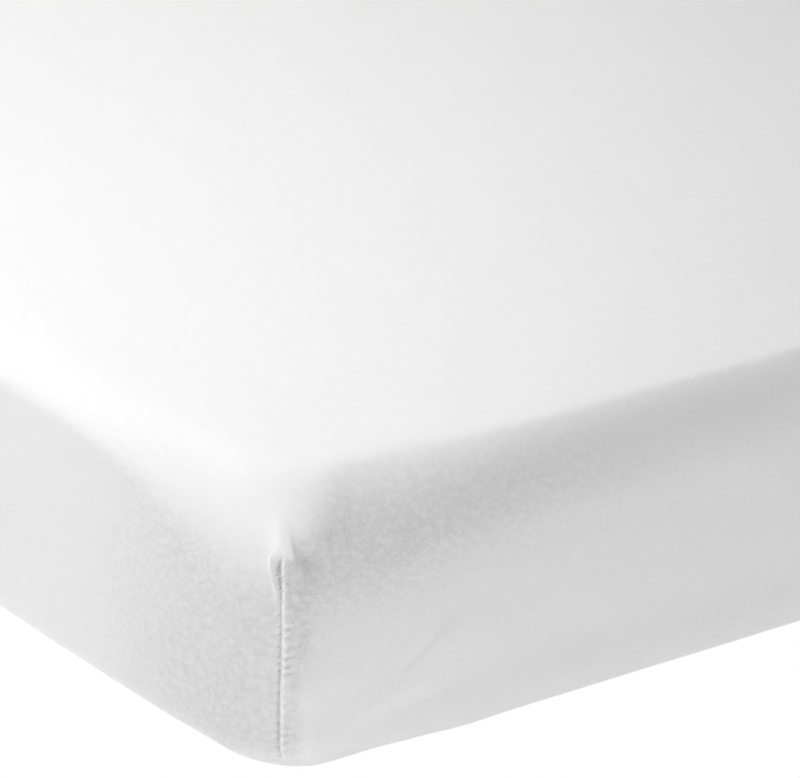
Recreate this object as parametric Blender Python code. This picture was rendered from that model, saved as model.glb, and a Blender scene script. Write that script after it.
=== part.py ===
"""Fitted sheet of white cotton jersey, pulled tight over a cot mattress.

The frame has its origin on the floor under the middle of the mattress, X along it and Z up.
The sheet is one cloth: a crowned top, four walls and a hem drawn in underneath, with a dart
seam down each corner. The mattress inside is one plain padded block.

Both pieces are lofts. Columns run round the outline, and levels run down each column from
the middle of the top, over the edge, down the wall and under the base.
"""

import math
from typing import NamedTuple

import bmesh
import bpy
from mathutils import Vector

# Driving sizes, in metres.
LENGTH = 1.200  # along X, outside the sheet
WIDTH = 0.600  # along Y, outside the sheet
HEIGHT = 0.100  # floor to the crown of the top
CLOTH = 0.0016  # jersey with its nap
GAP = 0.00035  # between sheet and mattress where one lies on the other
EDGE_CLEARANCE = 0.0022  # the same at the rounded edges and corners

# The section across an edge.
CROWN = 0.0030  # the top's middle above its edges
CROWN_REACH = 0.240  # from a wall to where the top is level
BASE_ROUND = 0.0178  # turn from wall to underside
BULGE = 0.0012  # walls stand out at mid-height
UNDER_TURN = 0.065  # from wall to hem, underneath
HEM_TURN = 0.085  # the hem's line at a corner, as a radius
HEM_DRIFT = 0.004  # how far the hem's line wanders
HEM_WAVES = 5  # times it does so on its way round

# The outline.
SPINE = WIDTH / 2.0  # from the long walls to the middle line of the top
SPINE_TURN = 0.004  # smallest corner of the top's inner levels
TOP_TURN = 0.040  # corner of the top, seen from above
CORNER_SWELL = 0.045  # how far from a corner its softer edge is felt
SWAY_RATE = 11.0  # of a wall's slow waviness, in radians a metre
SIDE_PART = 0.9  # what a side takes of its quarter of the way round

# Levels, as distances in from the wall or as numbers of steps.
TOP_LEVELS = (0.200, 0.120, 0.070, 0.044)
EDGE_STEPS = 5
WALL_STEPS = 7
BASE_STEPS = 3
UNDER_LEVELS = (0.036, 0.052)
BEND_STEPS = 24  # along a fold's crest
MERGE = 1e-5  # points that close together on the spine are one

# The dart seam.
SEAM_TOP = 0.0775  # height where the seam starts
SEAM_FADE = 0.008  # and how fast it grows below that
SEAM_FOOT = 0.014  # height where it starts to flatten towards the floor
POCKET_WIDTH = 0.0035
POCKET_HEIGHT = 0.0075

# Colours, linear.
JERSEY_WHITE = (0.86, 0.86, 0.86)
TICKING_WHITE = (0.74, 0.73, 0.70)


class Corner(NamedTuple):
    """A corner of the sheet, with the walls before and after it going anticlockwise."""

    turn: float  # radius at the wall
    seam: float  # where the dart seam runs, as a share of the turn
    pull_before: float  # how far tension draws the wall before it in
    pull_after: float  # the same for the wall after it
    reach_before: float  # distance over which that pull dies out
    reach_after: float
    edge: float  # width and height of the rounded top edge here
    dip: float  # how far the top sinks here
    pocket: float  # depth of the hollow at the head of the seam


class Side(NamedTuple):
    """A side of the sheet, between one corner and the next."""

    edge_in: float  # rounded top edge, measured in from the wall
    edge_down: float  # and down from the top
    sway: float  # slow waviness of the wall
    phase: float


class Fold(NamedTuple):
    """A soft fold that stands off a wall and bends between three points."""

    side: int
    start: tuple  # distance from the corner before it, and height
    middle: tuple
    end: tuple
    width: float
    lift: float


class SeamRow(NamedTuple):
    """The cloth's relief at a distance from the seam."""

    offset: float
    lift: float


# From the corner at +X -Y, going anticlockwise seen from above. The columns are turn, seam,
# pull before and after, reach before and after, edge, dip and pocket.
CORNERS = (
    Corner(0.0145, 0.555, 0.0042, 0.0036, 0.036, 0.022, 0.0220, 0.0020, 0.0020),
    Corner(0.0160, 0.470, 0.0034, 0.0040, 0.024, 0.032, 0.0205, 0.0015, 0.0016),
    Corner(0.0150, 0.530, 0.0045, 0.0030, 0.034, 0.026, 0.0230, 0.0024, 0.0018),
    Corner(0.0165, 0.490, 0.0030, 0.0044, 0.022, 0.038, 0.0210, 0.0018, 0.0021),
)

# The side after each of those corners: edge in and down, sway and phase.
SIDES = (
    Side(0.0125, 0.0125, 0.0005, 0.6),
    Side(0.0180, 0.0200, 0.0008, 2.1),
    Side(0.0135, 0.0140, 0.0005, 3.9),
    Side(0.0190, 0.0220, 0.0008, 5.2),
)

FOLDS = (
    Fold(0, (0.073, 0.044), (0.053, 0.028), (0.018, 0.019), 0.0060, 0.0013),
    Fold(0, (0.340, 0.062), (0.420, 0.055), (0.510, 0.058), 0.0140, 0.0009),
    Fold(1, (0.060, 0.070), (0.075, 0.045), (0.082, 0.018), 0.0090, 0.0012),
    Fold(1, (0.420, 0.072), (0.560, 0.064), (0.700, 0.070), 0.0150, 0.0010),
    Fold(2, (0.030, 0.066), (0.062, 0.048), (0.110, 0.040), 0.0080, 0.0012),
    Fold(3, (1.108, 0.054), (1.105, 0.034), (1.103, 0.012), 0.0100, 0.0012),
    Fold(3, (1.156, 0.052), (1.159, 0.034), (1.157, 0.011), 0.0080, 0.0012),
    Fold(3, (0.330, 0.070), (0.480, 0.060), (0.650, 0.066), 0.0150, 0.0009),
)

SEAM_RELIEF = (
    SeamRow(-0.0080, 0.0),
    SeamRow(-0.0034, 0.0002),
    SeamRow(0.0, -0.0008),
    SeamRow(0.0014, 0.0009),
    SeamRow(0.0040, 0.0005),
    SeamRow(0.0080, 0.0),
)


class Column(NamedTuple):
    """A place on the outline: on a corner's turn, or on the side that follows it."""

    index: int  # of the corner and of the side after it
    turn: float  # share of the corner's turn, 1 on the side
    along: float  # share of the side, 0 on the turn


class Level(NamedTuple):
    """A point of the section: distance in from the wall, height, corner radius and slope."""

    inset: float
    height: float
    turn: float
    slope: float  # 0 faces up, a quarter turn faces out, a half turn faces down


class Layer(NamedTuple):
    """What differs between the lofted layers: how deep each lies, and how soft its edges are."""

    depth: float
    softer: float
    draped: bool


class Spread(NamedTuple):
    """How the columns of a loft are spread out."""

    turn_shares: tuple  # of a corner's turn, from its ends towards its seam
    near_corner: tuple  # distances out from a corner
    spacing: float  # between columns further out


SHEET = Layer(0.0, 0.0, True)
SHEET_INSIDE = Layer(CLOTH, 0.0, True)
PADDING = Layer(CLOTH + GAP, EDGE_CLEARANCE / (math.sqrt(2.0) - 1.0), False)

SHEET_SPREAD = Spread((0.0, 0.30, 0.62, 0.86), (0.012, 0.026, 0.041, 0.057, 0.075, 0.100), 0.100)
MATTRESS_SPREAD = Spread((0.0, 0.50), (0.026, 0.057, 0.100), 0.200)


def smooth(share):
    """Ease from 0 to 1 with level ends."""
    share = min(max(share, 0.0), 1.0)
    return share * share * (3.0 - 2.0 * share)


def mix(first, second, share):
    return first + (second - first) * share


def half_size(index):
    """Half the size of the sheet across the side that follows a corner."""
    return (LENGTH if index % 2 == 0 else WIDTH) / 2.0


def next_corner(column):
    return CORNERS[(column.index + 1) % len(CORNERS)]


def straight_run(index):
    """Straight length of a side at the wall, between the turns at its ends."""
    turns = CORNERS[index].turn + CORNERS[(index + 1) % len(CORNERS)].turn
    return 2.0 * half_size(index + 1) - turns


def facing(index):
    """Unit vector out of the side that follows a corner."""
    angle = index * math.pi / 2.0
    return Vector((round(math.cos(angle)), round(math.sin(angle)), 0.0))


def corner_columns(index, spread):
    """Columns round one corner, close together at its seam."""
    seam = CORNERS[index].seam
    before = [share * seam for share in spread.turn_shares]
    after = [1.0 - share * (1.0 - seam) for share in reversed(spread.turn_shares)]
    return [Column(index, turn, 0.0) for turn in before + [seam] + after]


def side_columns(index, spread):
    """Columns along one side, close together near its two corners."""
    side = 2.0 * half_size(index + 1)
    first = [distance / side for distance in spread.near_corner]
    count = round((1.0 - 2.0 * first[-1]) * side / spread.spacing)
    middle = [mix(first[-1], 1.0 - first[-1], step / count) for step in range(1, count)]
    last = [1.0 - share for share in reversed(first)]
    return [Column(index, 1.0, along) for along in first + middle + last]


def outline_columns(spread):
    columns = []
    for index in range(len(CORNERS)):
        columns += corner_columns(index, spread) + side_columns(index, spread)
    return columns


def round_share(column):
    """How far round the outline a column stands, from 0 to 1."""
    return (column.index + mix(column.turn, column.along, SIDE_PART)) / len(CORNERS)


def corner_shares(column):
    """How much a column feels the corner before it and the corner after it."""
    if column.along == 0.0:
        return 1.0, 0.0
    run = straight_run(column.index)
    before = math.exp(-column.along * run / CORNER_SWELL)
    after = math.exp(-(1.0 - column.along) * run / CORNER_SWELL)
    return before, after


def edge_sizes(column, layer):
    """Width and height of the rounded top edge at a column."""
    before, after = corner_shares(column)
    swollen = CORNERS[column.index].edge * before + next_corner(column).edge * after
    share = min(before + after, 1.0)
    corner_edge = swollen / (before + after)
    side = SIDES[column.index]
    width = mix(side.edge_in, corner_edge, share) + layer.softer
    height = mix(side.edge_down, corner_edge, share) + layer.softer
    return width, height


def middle_fade(inset):
    """1 at the wall, 0 at the spine of the top."""
    return 1.0 - min(inset / SPINE, 1.0)


def top_height(column, inset):
    """Height of the top at a distance in from the wall."""
    before, after = corner_shares(column)
    dip = CORNERS[column.index].dip * before + next_corner(column).dip * after
    dip *= math.exp(-inset / CORNER_SWELL) * middle_fade(inset)
    return HEIGHT - CROWN * (1.0 - smooth(inset / CROWN_REACH)) - dip


def top_levels(column):
    spine = Level(SPINE, top_height(column, SPINE), 0.0, 0.0)
    return [spine] + [
        Level(inset, top_height(column, inset), TOP_TURN, 0.0) for inset in TOP_LEVELS
    ]


def edge_levels(column, layer):
    """The rounded top edge, from the top to the head of the wall."""
    width, drop = edge_sizes(column, layer)
    shoulder = top_height(column, width)
    levels = []
    for step in range(EDGE_STEPS + 1):
        share = step / EDGE_STEPS
        slope = share * math.pi / 2.0
        inset = width * (1.0 - math.sin(slope)) + BULGE * share
        height = shoulder - drop * (1.0 - math.cos(slope))
        turn = mix(TOP_TURN, wall_turn(column, layer), smooth(share))
        levels.append(Level(inset, height, turn, slope))
    return levels


def wall_turn(column, layer):
    return CORNERS[column.index].turn + 2.0 * layer.softer


def wall_levels(column, layer, head):
    """The wall between its rounded head and foot, standing out at mid-height."""
    foot = BASE_ROUND + layer.softer
    turn = wall_turn(column, layer)
    levels = []
    for step in range(1, WALL_STEPS):
        share = step / WALL_STEPS
        inset = BULGE * (2.0 * share - 1.0) ** 2
        levels.append(Level(inset, mix(head, foot, share), turn, math.pi / 2.0))
    return levels


def base_levels(column, layer):
    """The turn from wall to underside."""
    radius = BASE_ROUND + layer.softer
    levels = []
    for step in range(BASE_STEPS + 1):
        share = step / BASE_STEPS
        angle = share * math.pi / 2.0
        inset = radius * (1.0 - math.cos(angle)) + BULGE * (1.0 - share)
        height = radius * (1.0 - math.sin(angle))
        levels.append(Level(inset, height, wall_turn(column, layer), math.pi / 2.0 + angle))
    return levels


def hem_levels(column):
    """The part drawn in underneath, flat on the floor, as far as the hem."""
    hem = UNDER_TURN + HEM_DRIFT * math.sin(HEM_WAVES * 2.0 * math.pi * round_share(column))
    turn = CORNERS[column.index].turn
    levels = [
        Level(inset, 0.0, mix(turn, HEM_TURN, inset / hem), math.pi) for inset in UNDER_LEVELS
    ]
    return levels + [Level(hem, 0.0, HEM_TURN, math.pi)]


def section(column, layer):
    """All levels of one column, from the middle of the top to the last one underneath."""
    edge = edge_levels(column, layer)
    wall = wall_levels(column, layer, edge[-1].height)
    under = hem_levels(column) if layer.draped else []
    return top_levels(column) + edge + wall + base_levels(column, layer) + under


def turn_point(column, inset, turn):
    """Place and outward direction of a column on a corner's turn."""
    corner = CORNERS[column.index]
    fade = middle_fade(inset)
    before, after = facing(column.index - 1), facing(column.index)
    reach_before = half_size(column.index - 1) - inset - corner.pull_before * fade - turn
    reach_after = half_size(column.index) - inset - corner.pull_after * fade - turn
    angle = column.turn * math.pi / 2.0
    outward = before * math.cos(angle) + after * math.sin(angle)
    return before * reach_before + after * reach_after + outward * turn, outward


def side_point(column, inset, turn):
    """Place and outward direction of a column on a side, drawn in near its corners."""
    here, ahead = CORNERS[column.index], next_corner(column)
    fade = middle_fade(inset)
    out, along = facing(column.index), facing(column.index + 1)
    start = half_size(column.index - 1) - inset - here.pull_before * fade - turn
    end = half_size(column.index + 1) - inset - ahead.pull_after * fade - turn
    run = straight_run(column.index)
    pull = here.pull_after * math.exp(-column.along * run / here.reach_after)
    pull += ahead.pull_before * math.exp(-(1.0 - column.along) * run / ahead.reach_before)
    depth = half_size(column.index) - inset - pull * fade
    return out * depth + along * mix(-start, end, column.along), out


def plan_point(column, level):
    turn = min(max(level.turn, SPINE_TURN), SPINE - level.inset)
    if column.along == 0.0:
        return turn_point(column, level.inset, turn)
    return side_point(column, level.inset, turn)


def bend_point(fold, share):
    """Point of a fold's crest, which bends from start to end and is drawn towards its middle."""
    weights = ((1.0 - share) ** 2, 2.0 * share * (1.0 - share), share**2)
    points = (fold.start, fold.middle, fold.end)
    return [sum(w * point[axis] for w, point in zip(weights, points)) for axis in (0, 1)]


def fold_lift(fold, distance, height):
    """Relief of one fold at a point of its wall."""
    nearest, share = math.inf, 0.0
    for step in range(BEND_STEPS + 1):
        crest = bend_point(fold, step / BEND_STEPS)
        gap = math.hypot(crest[0] - distance, crest[1] - height)
        if gap < nearest:
            nearest, share = gap, step / BEND_STEPS
    rise = smooth(4.0 * share) * smooth(4.0 * (1.0 - share))
    return fold.lift * rise * math.exp(-((nearest / fold.width) ** 2))


def wall_lift(column, height):
    """Relief of a side: its folds and its slow sway."""
    if column.along == 0.0:
        return 0.0
    side = SIDES[column.index]
    distance = CORNERS[column.index].turn + column.along * straight_run(column.index)
    folds = [fold_lift(fold, distance, height) for fold in FOLDS if fold.side == column.index]
    sway = 0.5 + 0.5 * math.sin(side.phase + SWAY_RATE * distance)
    return sum(folds) + side.sway * sway * math.sin(column.along * math.pi)


def seam_lift(column, height):
    """Relief of the dart seam and of the hollow at its head."""
    corner = CORNERS[column.index]
    offset = (column.turn - corner.seam) * corner.turn * math.pi / 2.0
    offset += column.along * straight_run(column.index)
    lift = 0.0
    for row, following in zip(SEAM_RELIEF, SEAM_RELIEF[1:]):
        if row.offset <= offset < following.offset:
            share = (offset - row.offset) / (following.offset - row.offset)
            lift = mix(row.lift, following.lift, share)
    across = offset / POCKET_WIDTH
    down = (height - SEAM_TOP) / POCKET_HEIGHT
    hollow = corner.pocket * math.exp(-(across**2) - down**2)
    grown = smooth((SEAM_TOP - height) / SEAM_FADE) * smooth(height / SEAM_FOOT)
    return lift * grown - hollow


def relief(column, level):
    """How far the cloth stands off its smooth form: most on the walls, nothing where it is level."""
    lift = wall_lift(column, level.height) + seam_lift(column, level.height)
    return lift * math.sin(level.slope)


def surface_point(column, level, layer):
    """A vertex of a loft, moved off the smooth form along the outward direction."""
    place, outward = plan_point(column, level)
    normal = outward * math.sin(level.slope) + Vector((0.0, 0.0, math.cos(level.slope)))
    lift = relief(column, level) if layer.draped else 0.0
    return place + Vector((0.0, 0.0, level.height)) + normal * (lift - layer.depth)


def add_loft(mesh, columns, layer, inward=False):
    """Add one lofted surface and return its last ring."""
    strips = []
    for column in columns:
        levels = section(column, layer)
        strips.append([mesh.verts.new(surface_point(column, level, layer)) for level in levels])
    for strip, following in zip(strips, strips[1:] + strips[:1]):
        for upper in range(len(strip) - 1):
            lower = upper + 1
            corners = [strip[upper], strip[lower], following[lower], following[upper]]
            mesh.faces.new(reversed(corners) if inward else corners)
    return [strip[-1] for strip in strips]


def close_ring(mesh, outer, inner):
    """Join the two faces of the cloth round the hem."""
    for step, corner in enumerate(outer):
        after = (step + 1) % len(outer)
        mesh.faces.new((corner, inner[step], inner[after], outer[after]))


def add_piece(mesh, name, material):
    """Close the spine of the top and make the mesh an object."""
    bmesh.ops.remove_doubles(mesh, verts=mesh.verts, dist=MERGE)
    bmesh.ops.triangulate(mesh, faces=mesh.faces)
    data = bpy.data.meshes.new(name)
    mesh.to_mesh(data)
    mesh.free()
    data.shade_smooth()
    data.materials.append(material)
    piece = bpy.data.objects.new(name, data)
    bpy.context.scene.collection.objects.link(piece)


def cloth_material(name, color, roughness):
    material = bpy.data.materials.new(name)
    material.use_nodes = True
    shader = material.node_tree.nodes["Principled BSDF"]
    shader.inputs["Base Color"].default_value = (*color, 1.0)
    shader.inputs["Roughness"].default_value = roughness
    shader.inputs["Metallic"].default_value = 0.0
    return material


def make_sheet():
    """The fitted sheet: outer and inner face of one cloth, joined round the hem."""
    mesh = bmesh.new()
    columns = outline_columns(SHEET_SPREAD)
    outer = add_loft(mesh, columns, SHEET)
    inner = add_loft(mesh, columns, SHEET_INSIDE, inward=True)
    close_ring(mesh, outer, inner)
    add_piece(mesh, "fitted_sheet", cloth_material("white_jersey", JERSEY_WHITE, 0.9))


def make_mattress():
    """The mattress: a padded block a little inside the sheet, with softer edges."""
    mesh = bmesh.new()
    base = add_loft(mesh, outline_columns(MATTRESS_SPREAD), PADDING)
    mesh.faces.new(reversed(base))
    add_piece(mesh, "mattress", cloth_material("mattress_ticking", TICKING_WHITE, 0.9))


def main():
    for old in list(bpy.data.objects):
        bpy.data.objects.remove(old)
    make_sheet()
    make_mattress()


main()
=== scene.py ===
"""White cotton jersey fitted sheet, stretched over a cot mattress.

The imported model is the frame, in metres: X runs along the mattress, Z is up, and the floor is
at zero. The sheet is one cloth, built in a flat pattern and then folded into its place. Across
the pattern runs the way round the outline, from 0 to 4, and down it the cloth's section, from
the top over the edge, down the wall and underneath to the hem, and back inside to the top.
"""

import logging
import math
from dataclasses import dataclass, fields, replace
from enum import Enum
from typing import TypeVar

import bmesh
import bpy
import numpy as np
from mathutils import Matrix, Vector


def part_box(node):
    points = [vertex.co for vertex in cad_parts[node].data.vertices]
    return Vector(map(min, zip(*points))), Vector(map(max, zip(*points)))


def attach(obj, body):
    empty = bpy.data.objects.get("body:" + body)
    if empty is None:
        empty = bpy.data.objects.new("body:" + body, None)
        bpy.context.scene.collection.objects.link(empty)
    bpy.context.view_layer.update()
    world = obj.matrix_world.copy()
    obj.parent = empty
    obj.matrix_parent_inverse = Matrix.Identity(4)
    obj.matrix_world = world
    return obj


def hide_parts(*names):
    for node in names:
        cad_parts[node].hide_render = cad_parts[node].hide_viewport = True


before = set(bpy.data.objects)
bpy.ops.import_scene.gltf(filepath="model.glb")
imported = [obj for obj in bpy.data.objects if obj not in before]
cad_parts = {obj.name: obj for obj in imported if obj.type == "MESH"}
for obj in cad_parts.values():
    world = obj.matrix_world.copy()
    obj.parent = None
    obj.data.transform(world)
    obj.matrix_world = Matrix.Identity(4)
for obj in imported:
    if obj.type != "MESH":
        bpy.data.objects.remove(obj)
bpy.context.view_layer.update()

MM = 0.001
TINY = 1e-6
MERGED = 0.01 * MM  # points closer together than this are made one
SHORTEST = 0.001 * MM  # and edges shorter than this are taken out
QUARTER = math.pi / 2.0
TURN = 2.0 * math.pi
LOG = logging.getLogger("fitted sheet")

Row = TypeVar("Row")
Faces = list[tuple[int, ...]]
Reaches = tuple[np.ndarray, np.ndarray, np.ndarray]


class Hold(Enum):
    """How a cloth is held in its shape."""

    STRETCHED = "stretched"


class Band(Enum):
    """Bands of the sheet's section, by the level at which each starts."""

    TOP = 0.0
    EDGE = 1.0
    WALL = 2.0
    BASE = 3.0
    UNDER = 4.0
    HEM = 5.0
    INSIDE = 6.0
    END = 11.0


@dataclass(frozen=True)
class Corner:
    """A corner of the sheet, with the walls before and after it going anticlockwise."""

    turn: float  # its radius under the top edge
    foot_before: float  # how far the turn reaches along the wall before it, at the base
    foot_after: float
    seam: float  # the dart seam's place, as a share of the turn
    pull_before: float  # how far tension draws the wall before it in, under the edge
    pull_after: float
    reach_before: float  # how far along the wall that is felt
    reach_after: float
    edge_in: float  # the rounded top edge here: in from the wall
    edge_down: float  # and down
    swell_before: float  # how far along the wall that edge is felt
    swell_after: float
    dip: float  # how far the top sinks


@dataclass(frozen=True)
class Side:
    """A side of the sheet: its rounded top edge, in from the wall and down, and its sway."""

    edge_in: float
    edge_down: float
    sway: float
    phase: float


@dataclass(frozen=True)
class Crease:
    """A soft fold in a wall, bent between three points of distance and height."""

    side: int
    start: tuple[float, float]
    middle: tuple[float, float]
    end: tuple[float, float]
    width: float
    lift: float  # how far its crest stands out, negative in a trough
    hollow: float = 0.0  # depth of the narrow trough beside it, on its upper side
    fall: float = 0.0  # how far the cloth drops back on its lower side


@dataclass(frozen=True)
class Opening:
    """A level of a dart seam's head. Its offsets are from the seam."""

    height: float
    opens: float
    closes: float  # the edge of the cloth on the right, which laps over
    depth: float  # how far the pocket falls in
    rim: float  # how far the cloth stands up on its left


@dataclass(frozen=True)
class Swell:
    """A small swell or dent of the cloth near a dart seam's head."""

    offset: float  # its middle
    height: float
    tilt: float  # its slant, in degrees
    long: float  # how far it reaches both ways
    wide: float
    lift: float  # how far it stands out, negative in a dent

    def relief(self, offset: np.ndarray, height: np.ndarray) -> np.ndarray:
        """How far the cloth stands out at some points by a seam.

        Args:
            offset: the points' distance across from the seam.
            height: their height.

        Returns:
            The swell's lift there.
        """
        turn = math.radians(self.tilt)
        past, over = offset - self.offset, height - self.height
        ahead = past * math.cos(turn) + over * math.sin(turn)
        aside = over * math.cos(turn) - past * math.sin(turn)
        return self.lift * hill(ahead, self.long) * hill(aside, self.wide)


@dataclass(frozen=True)
class Wave:
    """A slow wave along one way: its size, its rate, and its shift from corner to corner."""

    size: float
    rate: float
    shift: float = 0.0

    def at(self, place: np.ndarray, corner: np.ndarray | float = 0.0) -> np.ndarray:
        """Value of the wave at some places of some corners."""
        return self.size * np.sin(self.rate * place + self.shift * corner)


@dataclass(frozen=True)
class Ripple:
    """A slow wave of the whole cloth, bent by another. The rates are along X, Y and Z."""

    size: float
    rates: tuple[float, float, float]
    bend: float = 0.0
    bend_rates: tuple[float, float, float] = (0.0, 0.0, 0.0)

    def at(self, spots: np.ndarray) -> np.ndarray:
        """Lift of the wave at some points of space."""
        bend = self.bend * np.sin(spots @ self.bend_rates)
        return self.size * np.sin(spots @ self.rates + bend)


@dataclass(frozen=True)
class Patch:
    """A part of the flat pattern that takes a finer grid: its limits in both ways and cuts."""

    around: tuple[float, float]
    level: tuple[float, float]
    cuts: int


@dataclass(frozen=True)
class Strip:
    """A finer strip along the dart seams: its reach to both sides, its levels and its cuts."""

    left: float
    right: float
    level: tuple[float, float]
    cuts: tuple[int, int]  # at the first corner, which is seen close up, and at the others


@dataclass
class Places:
    """Where points stand round the outline, one entry for each point."""

    index: np.ndarray  # the corner, and the side after it
    turn: np.ndarray  # share of that corner's turn, 1 on the side
    along: np.ndarray  # share of the side, 0 on the turn


@dataclass
class Section:
    """Points of the section, one entry for each point.

    The reaches are how far the corners' turns reach there: along the wall before the last
    corner, along this wall from it, and along this wall from the next one.
    """

    inset: np.ndarray  # distance in from the wall
    height: np.ndarray
    reaches: Reaches
    grip: np.ndarray  # how much of the corners' pull is felt
    slope: np.ndarray  # 0 where the cloth faces up, half a turn where it faces down
    depth: np.ndarray  # how far the point lies inside the outer face


@dataclass(frozen=True)
class Layer:
    """One face of cloth or padding."""

    depth: float = 0.0
    softer: float = 0.0  # how much softer its edges are
    relief: float = 1.0  # how much of the cloth's fine relief it takes


def in_mm(kind: type[Row], plain: tuple[str, ...], *rows: tuple[float, ...]) -> tuple[Row, ...]:
    """Make a table whose rows are written in millimetres.

    Args:
        kind: the rows' class, whose fields are the columns.
        plain: the columns that aren't lengths.
        rows: the values.

    Returns:
        The rows, in metres.
    """
    scales = [1.0 if field.name in plain else MM for field in fields(kind)]
    return tuple(kind(*(value * scale for value, scale in zip(row, scales))) for row in rows)


CORNERS = (
    Corner(
        turn=14.5 * MM, foot_before=28.5 * MM, foot_after=19.0 * MM, seam=0.600,
        pull_before=4.2 * MM, pull_after=3.6 * MM, reach_before=36 * MM, reach_after=22 * MM,
        edge_in=21.0 * MM, edge_down=38.0 * MM, swell_before=36 * MM, swell_after=42 * MM, dip=2.0 * MM,
    ),
    Corner(
        turn=16.0 * MM, foot_before=20.0 * MM, foot_after=28.0 * MM, seam=0.470,
        pull_before=3.6 * MM, pull_after=4.4 * MM, reach_before=24 * MM, reach_after=32 * MM,
        edge_in=20.0 * MM, edge_down=34.0 * MM, swell_before=48 * MM, swell_after=85 * MM, dip=1.5 * MM,
    ),
    Corner(
        turn=15.0 * MM, foot_before=29.0 * MM, foot_after=21.0 * MM, seam=0.530,
        pull_before=4.6 * MM, pull_after=3.4 * MM, reach_before=34 * MM, reach_after=26 * MM,
        edge_in=22.0 * MM, edge_down=37.0 * MM, swell_before=90 * MM, swell_after=50 * MM, dip=2.4 * MM,
    ),
    Corner(
        turn=16.5 * MM, foot_before=21.0 * MM, foot_after=29.0 * MM, seam=0.490,
        pull_before=3.5 * MM, pull_after=4.5 * MM, reach_before=22 * MM, reach_after=38 * MM,
        edge_in=21.0 * MM, edge_down=35.0 * MM, swell_before=45 * MM, swell_after=80 * MM, dip=1.8 * MM,
    ),
)

SIDES = in_mm(
    Side, ("phase",),
    # edge in, edge down, sway, phase
    (13.5, 28.0, 0.5, 0.6),
    (21.0, 15.0, 0.8, 2.1),
    (14.5, 27.0, 0.5, 3.9),
    (22.0, 10.0, 0.8, 5.2),
)

CREASES = (
    # side; start, middle and end, each a distance and a height; width, lift, hollow, fall
    Crease(0, (0.0715, 0.0490), (0.0600, 0.0360), (0.0410, 0.0240), 3.6 * MM, 0.40 * MM, 0.50 * MM),
    Crease(0, (0.0640, 0.0280), (0.0400, 0.0240), (0.0145, 0.0175), 6.0 * MM, 0.2 * MM, 0.0, 1.6 * MM),
    Crease(0, (0.026, 0.003), (0.056, 0.003), (0.090, 0.003), 9.0 * MM, 1.3 * MM),
    Crease(0, (0.022, 0.070), (0.080, 0.074), (0.210, 0.070), 6.0 * MM, 0.25 * MM),
    Crease(0, (0.020, 0.058), (0.075, 0.060), (0.190, 0.054), 7.0 * MM, 0.20 * MM),
    Crease(0, (0.340, 0.062), (0.420, 0.055), (0.510, 0.058), 14.0 * MM, 0.9 * MM),
    Crease(1, (0.060, 0.070), (0.075, 0.045), (0.082, 0.018), 9.0 * MM, 1.2 * MM),
    Crease(1, (0.420, 0.072), (0.560, 0.064), (0.700, 0.070), 15.0 * MM, 1.0 * MM),
    Crease(2, (0.030, 0.066), (0.062, 0.048), (0.110, 0.040), 8.0 * MM, 1.2 * MM),
    Crease(3, (1.096, 0.076), (1.139, 0.041), (1.182, 0.006), 15.0 * MM, 1.7 * MM),
    Crease(3, (1.108, 0.054), (1.105, 0.034), (1.103, 0.012), 8.0 * MM, 0.5 * MM),
    Crease(3, (0.330, 0.070), (0.480, 0.060), (0.650, 0.066), 15.0 * MM, 0.9 * MM),
)
FINE_CREASES = CREASES[:3]  # seen close up, so they take a finer grid

CREASE_FADE = 2.6  # the rate at which a crease fades in and out along its line
CREASE_POINTS = 61  # along that line
TROUGH_AT = 0.8  # from its crest to its trough, as a share of its width
TROUGH_WIDTH = 0.4  # the trough's own width, as such a share
FALL_WIDTH = 1.4  # and that of its fall

POCKET = in_mm(
    Opening, (),
    # height, opens, closes, depth, rim
    (0.0, 0.10, 0.30, 0.0, 0.0),
    (10.0, 0.15, 0.35, 0.0, 0.0),
    (18.0, 0.30, 0.50, 0.0, 0.0),
    (27.0, 0.55, 0.77, 0.0, 0.0),
    (34.0, 0.78, 0.97, 0.0, 0.0),
    (44.0, 1.05, 1.25, 0.0, 0.0),
    (52.0, 1.05, 1.24, 0.0, 0.0),
    (60.0, 1.05, 1.25, 0.0, 0.0),
    (64.2, 0.75, 1.15, 0.5, 0.6),
    (66.5, 0.35, 1.00, 0.9, 1.0),
    (68.7, -0.45, 0.65, 1.3, 1.3),
    (70.5, -1.15, 0.25, 1.5, 1.5),
    (72.3, -1.85, -0.15, 1.6, 1.6),
    (74.2, -2.30, -0.30, 1.6, 1.6),
    (75.8, -2.10, -0.15, 1.3, 1.4),
    (76.6, -0.90, -0.10, 0.2, 0.6),
    (80.0, -0.60, -0.10, 0.0, 0.0),
)

HEAD_SWELLS = in_mm(
    Swell, ("tilt",),
    # offset, height, tilt, long, wide, lift
    (-2.6, 80.0, 106.0, 6.0, 3.8, 2.0),  # the fold over the seam's head
    (9.2, 80.2, -32.0, 6.5, 3.0, 0.9),
    (10.2, 73.9, -38.0, 5.2, 2.6, -3.9),
    (5.6, 64.4, 20.0, 1.7, 1.2, 0.60),
    (11.4, 64.2, 10.0, 2.2, 1.4, 0.35),
    (7.6, 61.9, 55.0, 1.5, 0.7, -0.60),
    (-7.0, 69.0, 35.0, 3.6, 0.9, -0.30),
    (-8.5, 64.0, 15.0, 3.2, 0.8, -0.28),
    (-5.0, 60.5, 25.0, 2.6, 0.8, -0.25),
)

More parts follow.
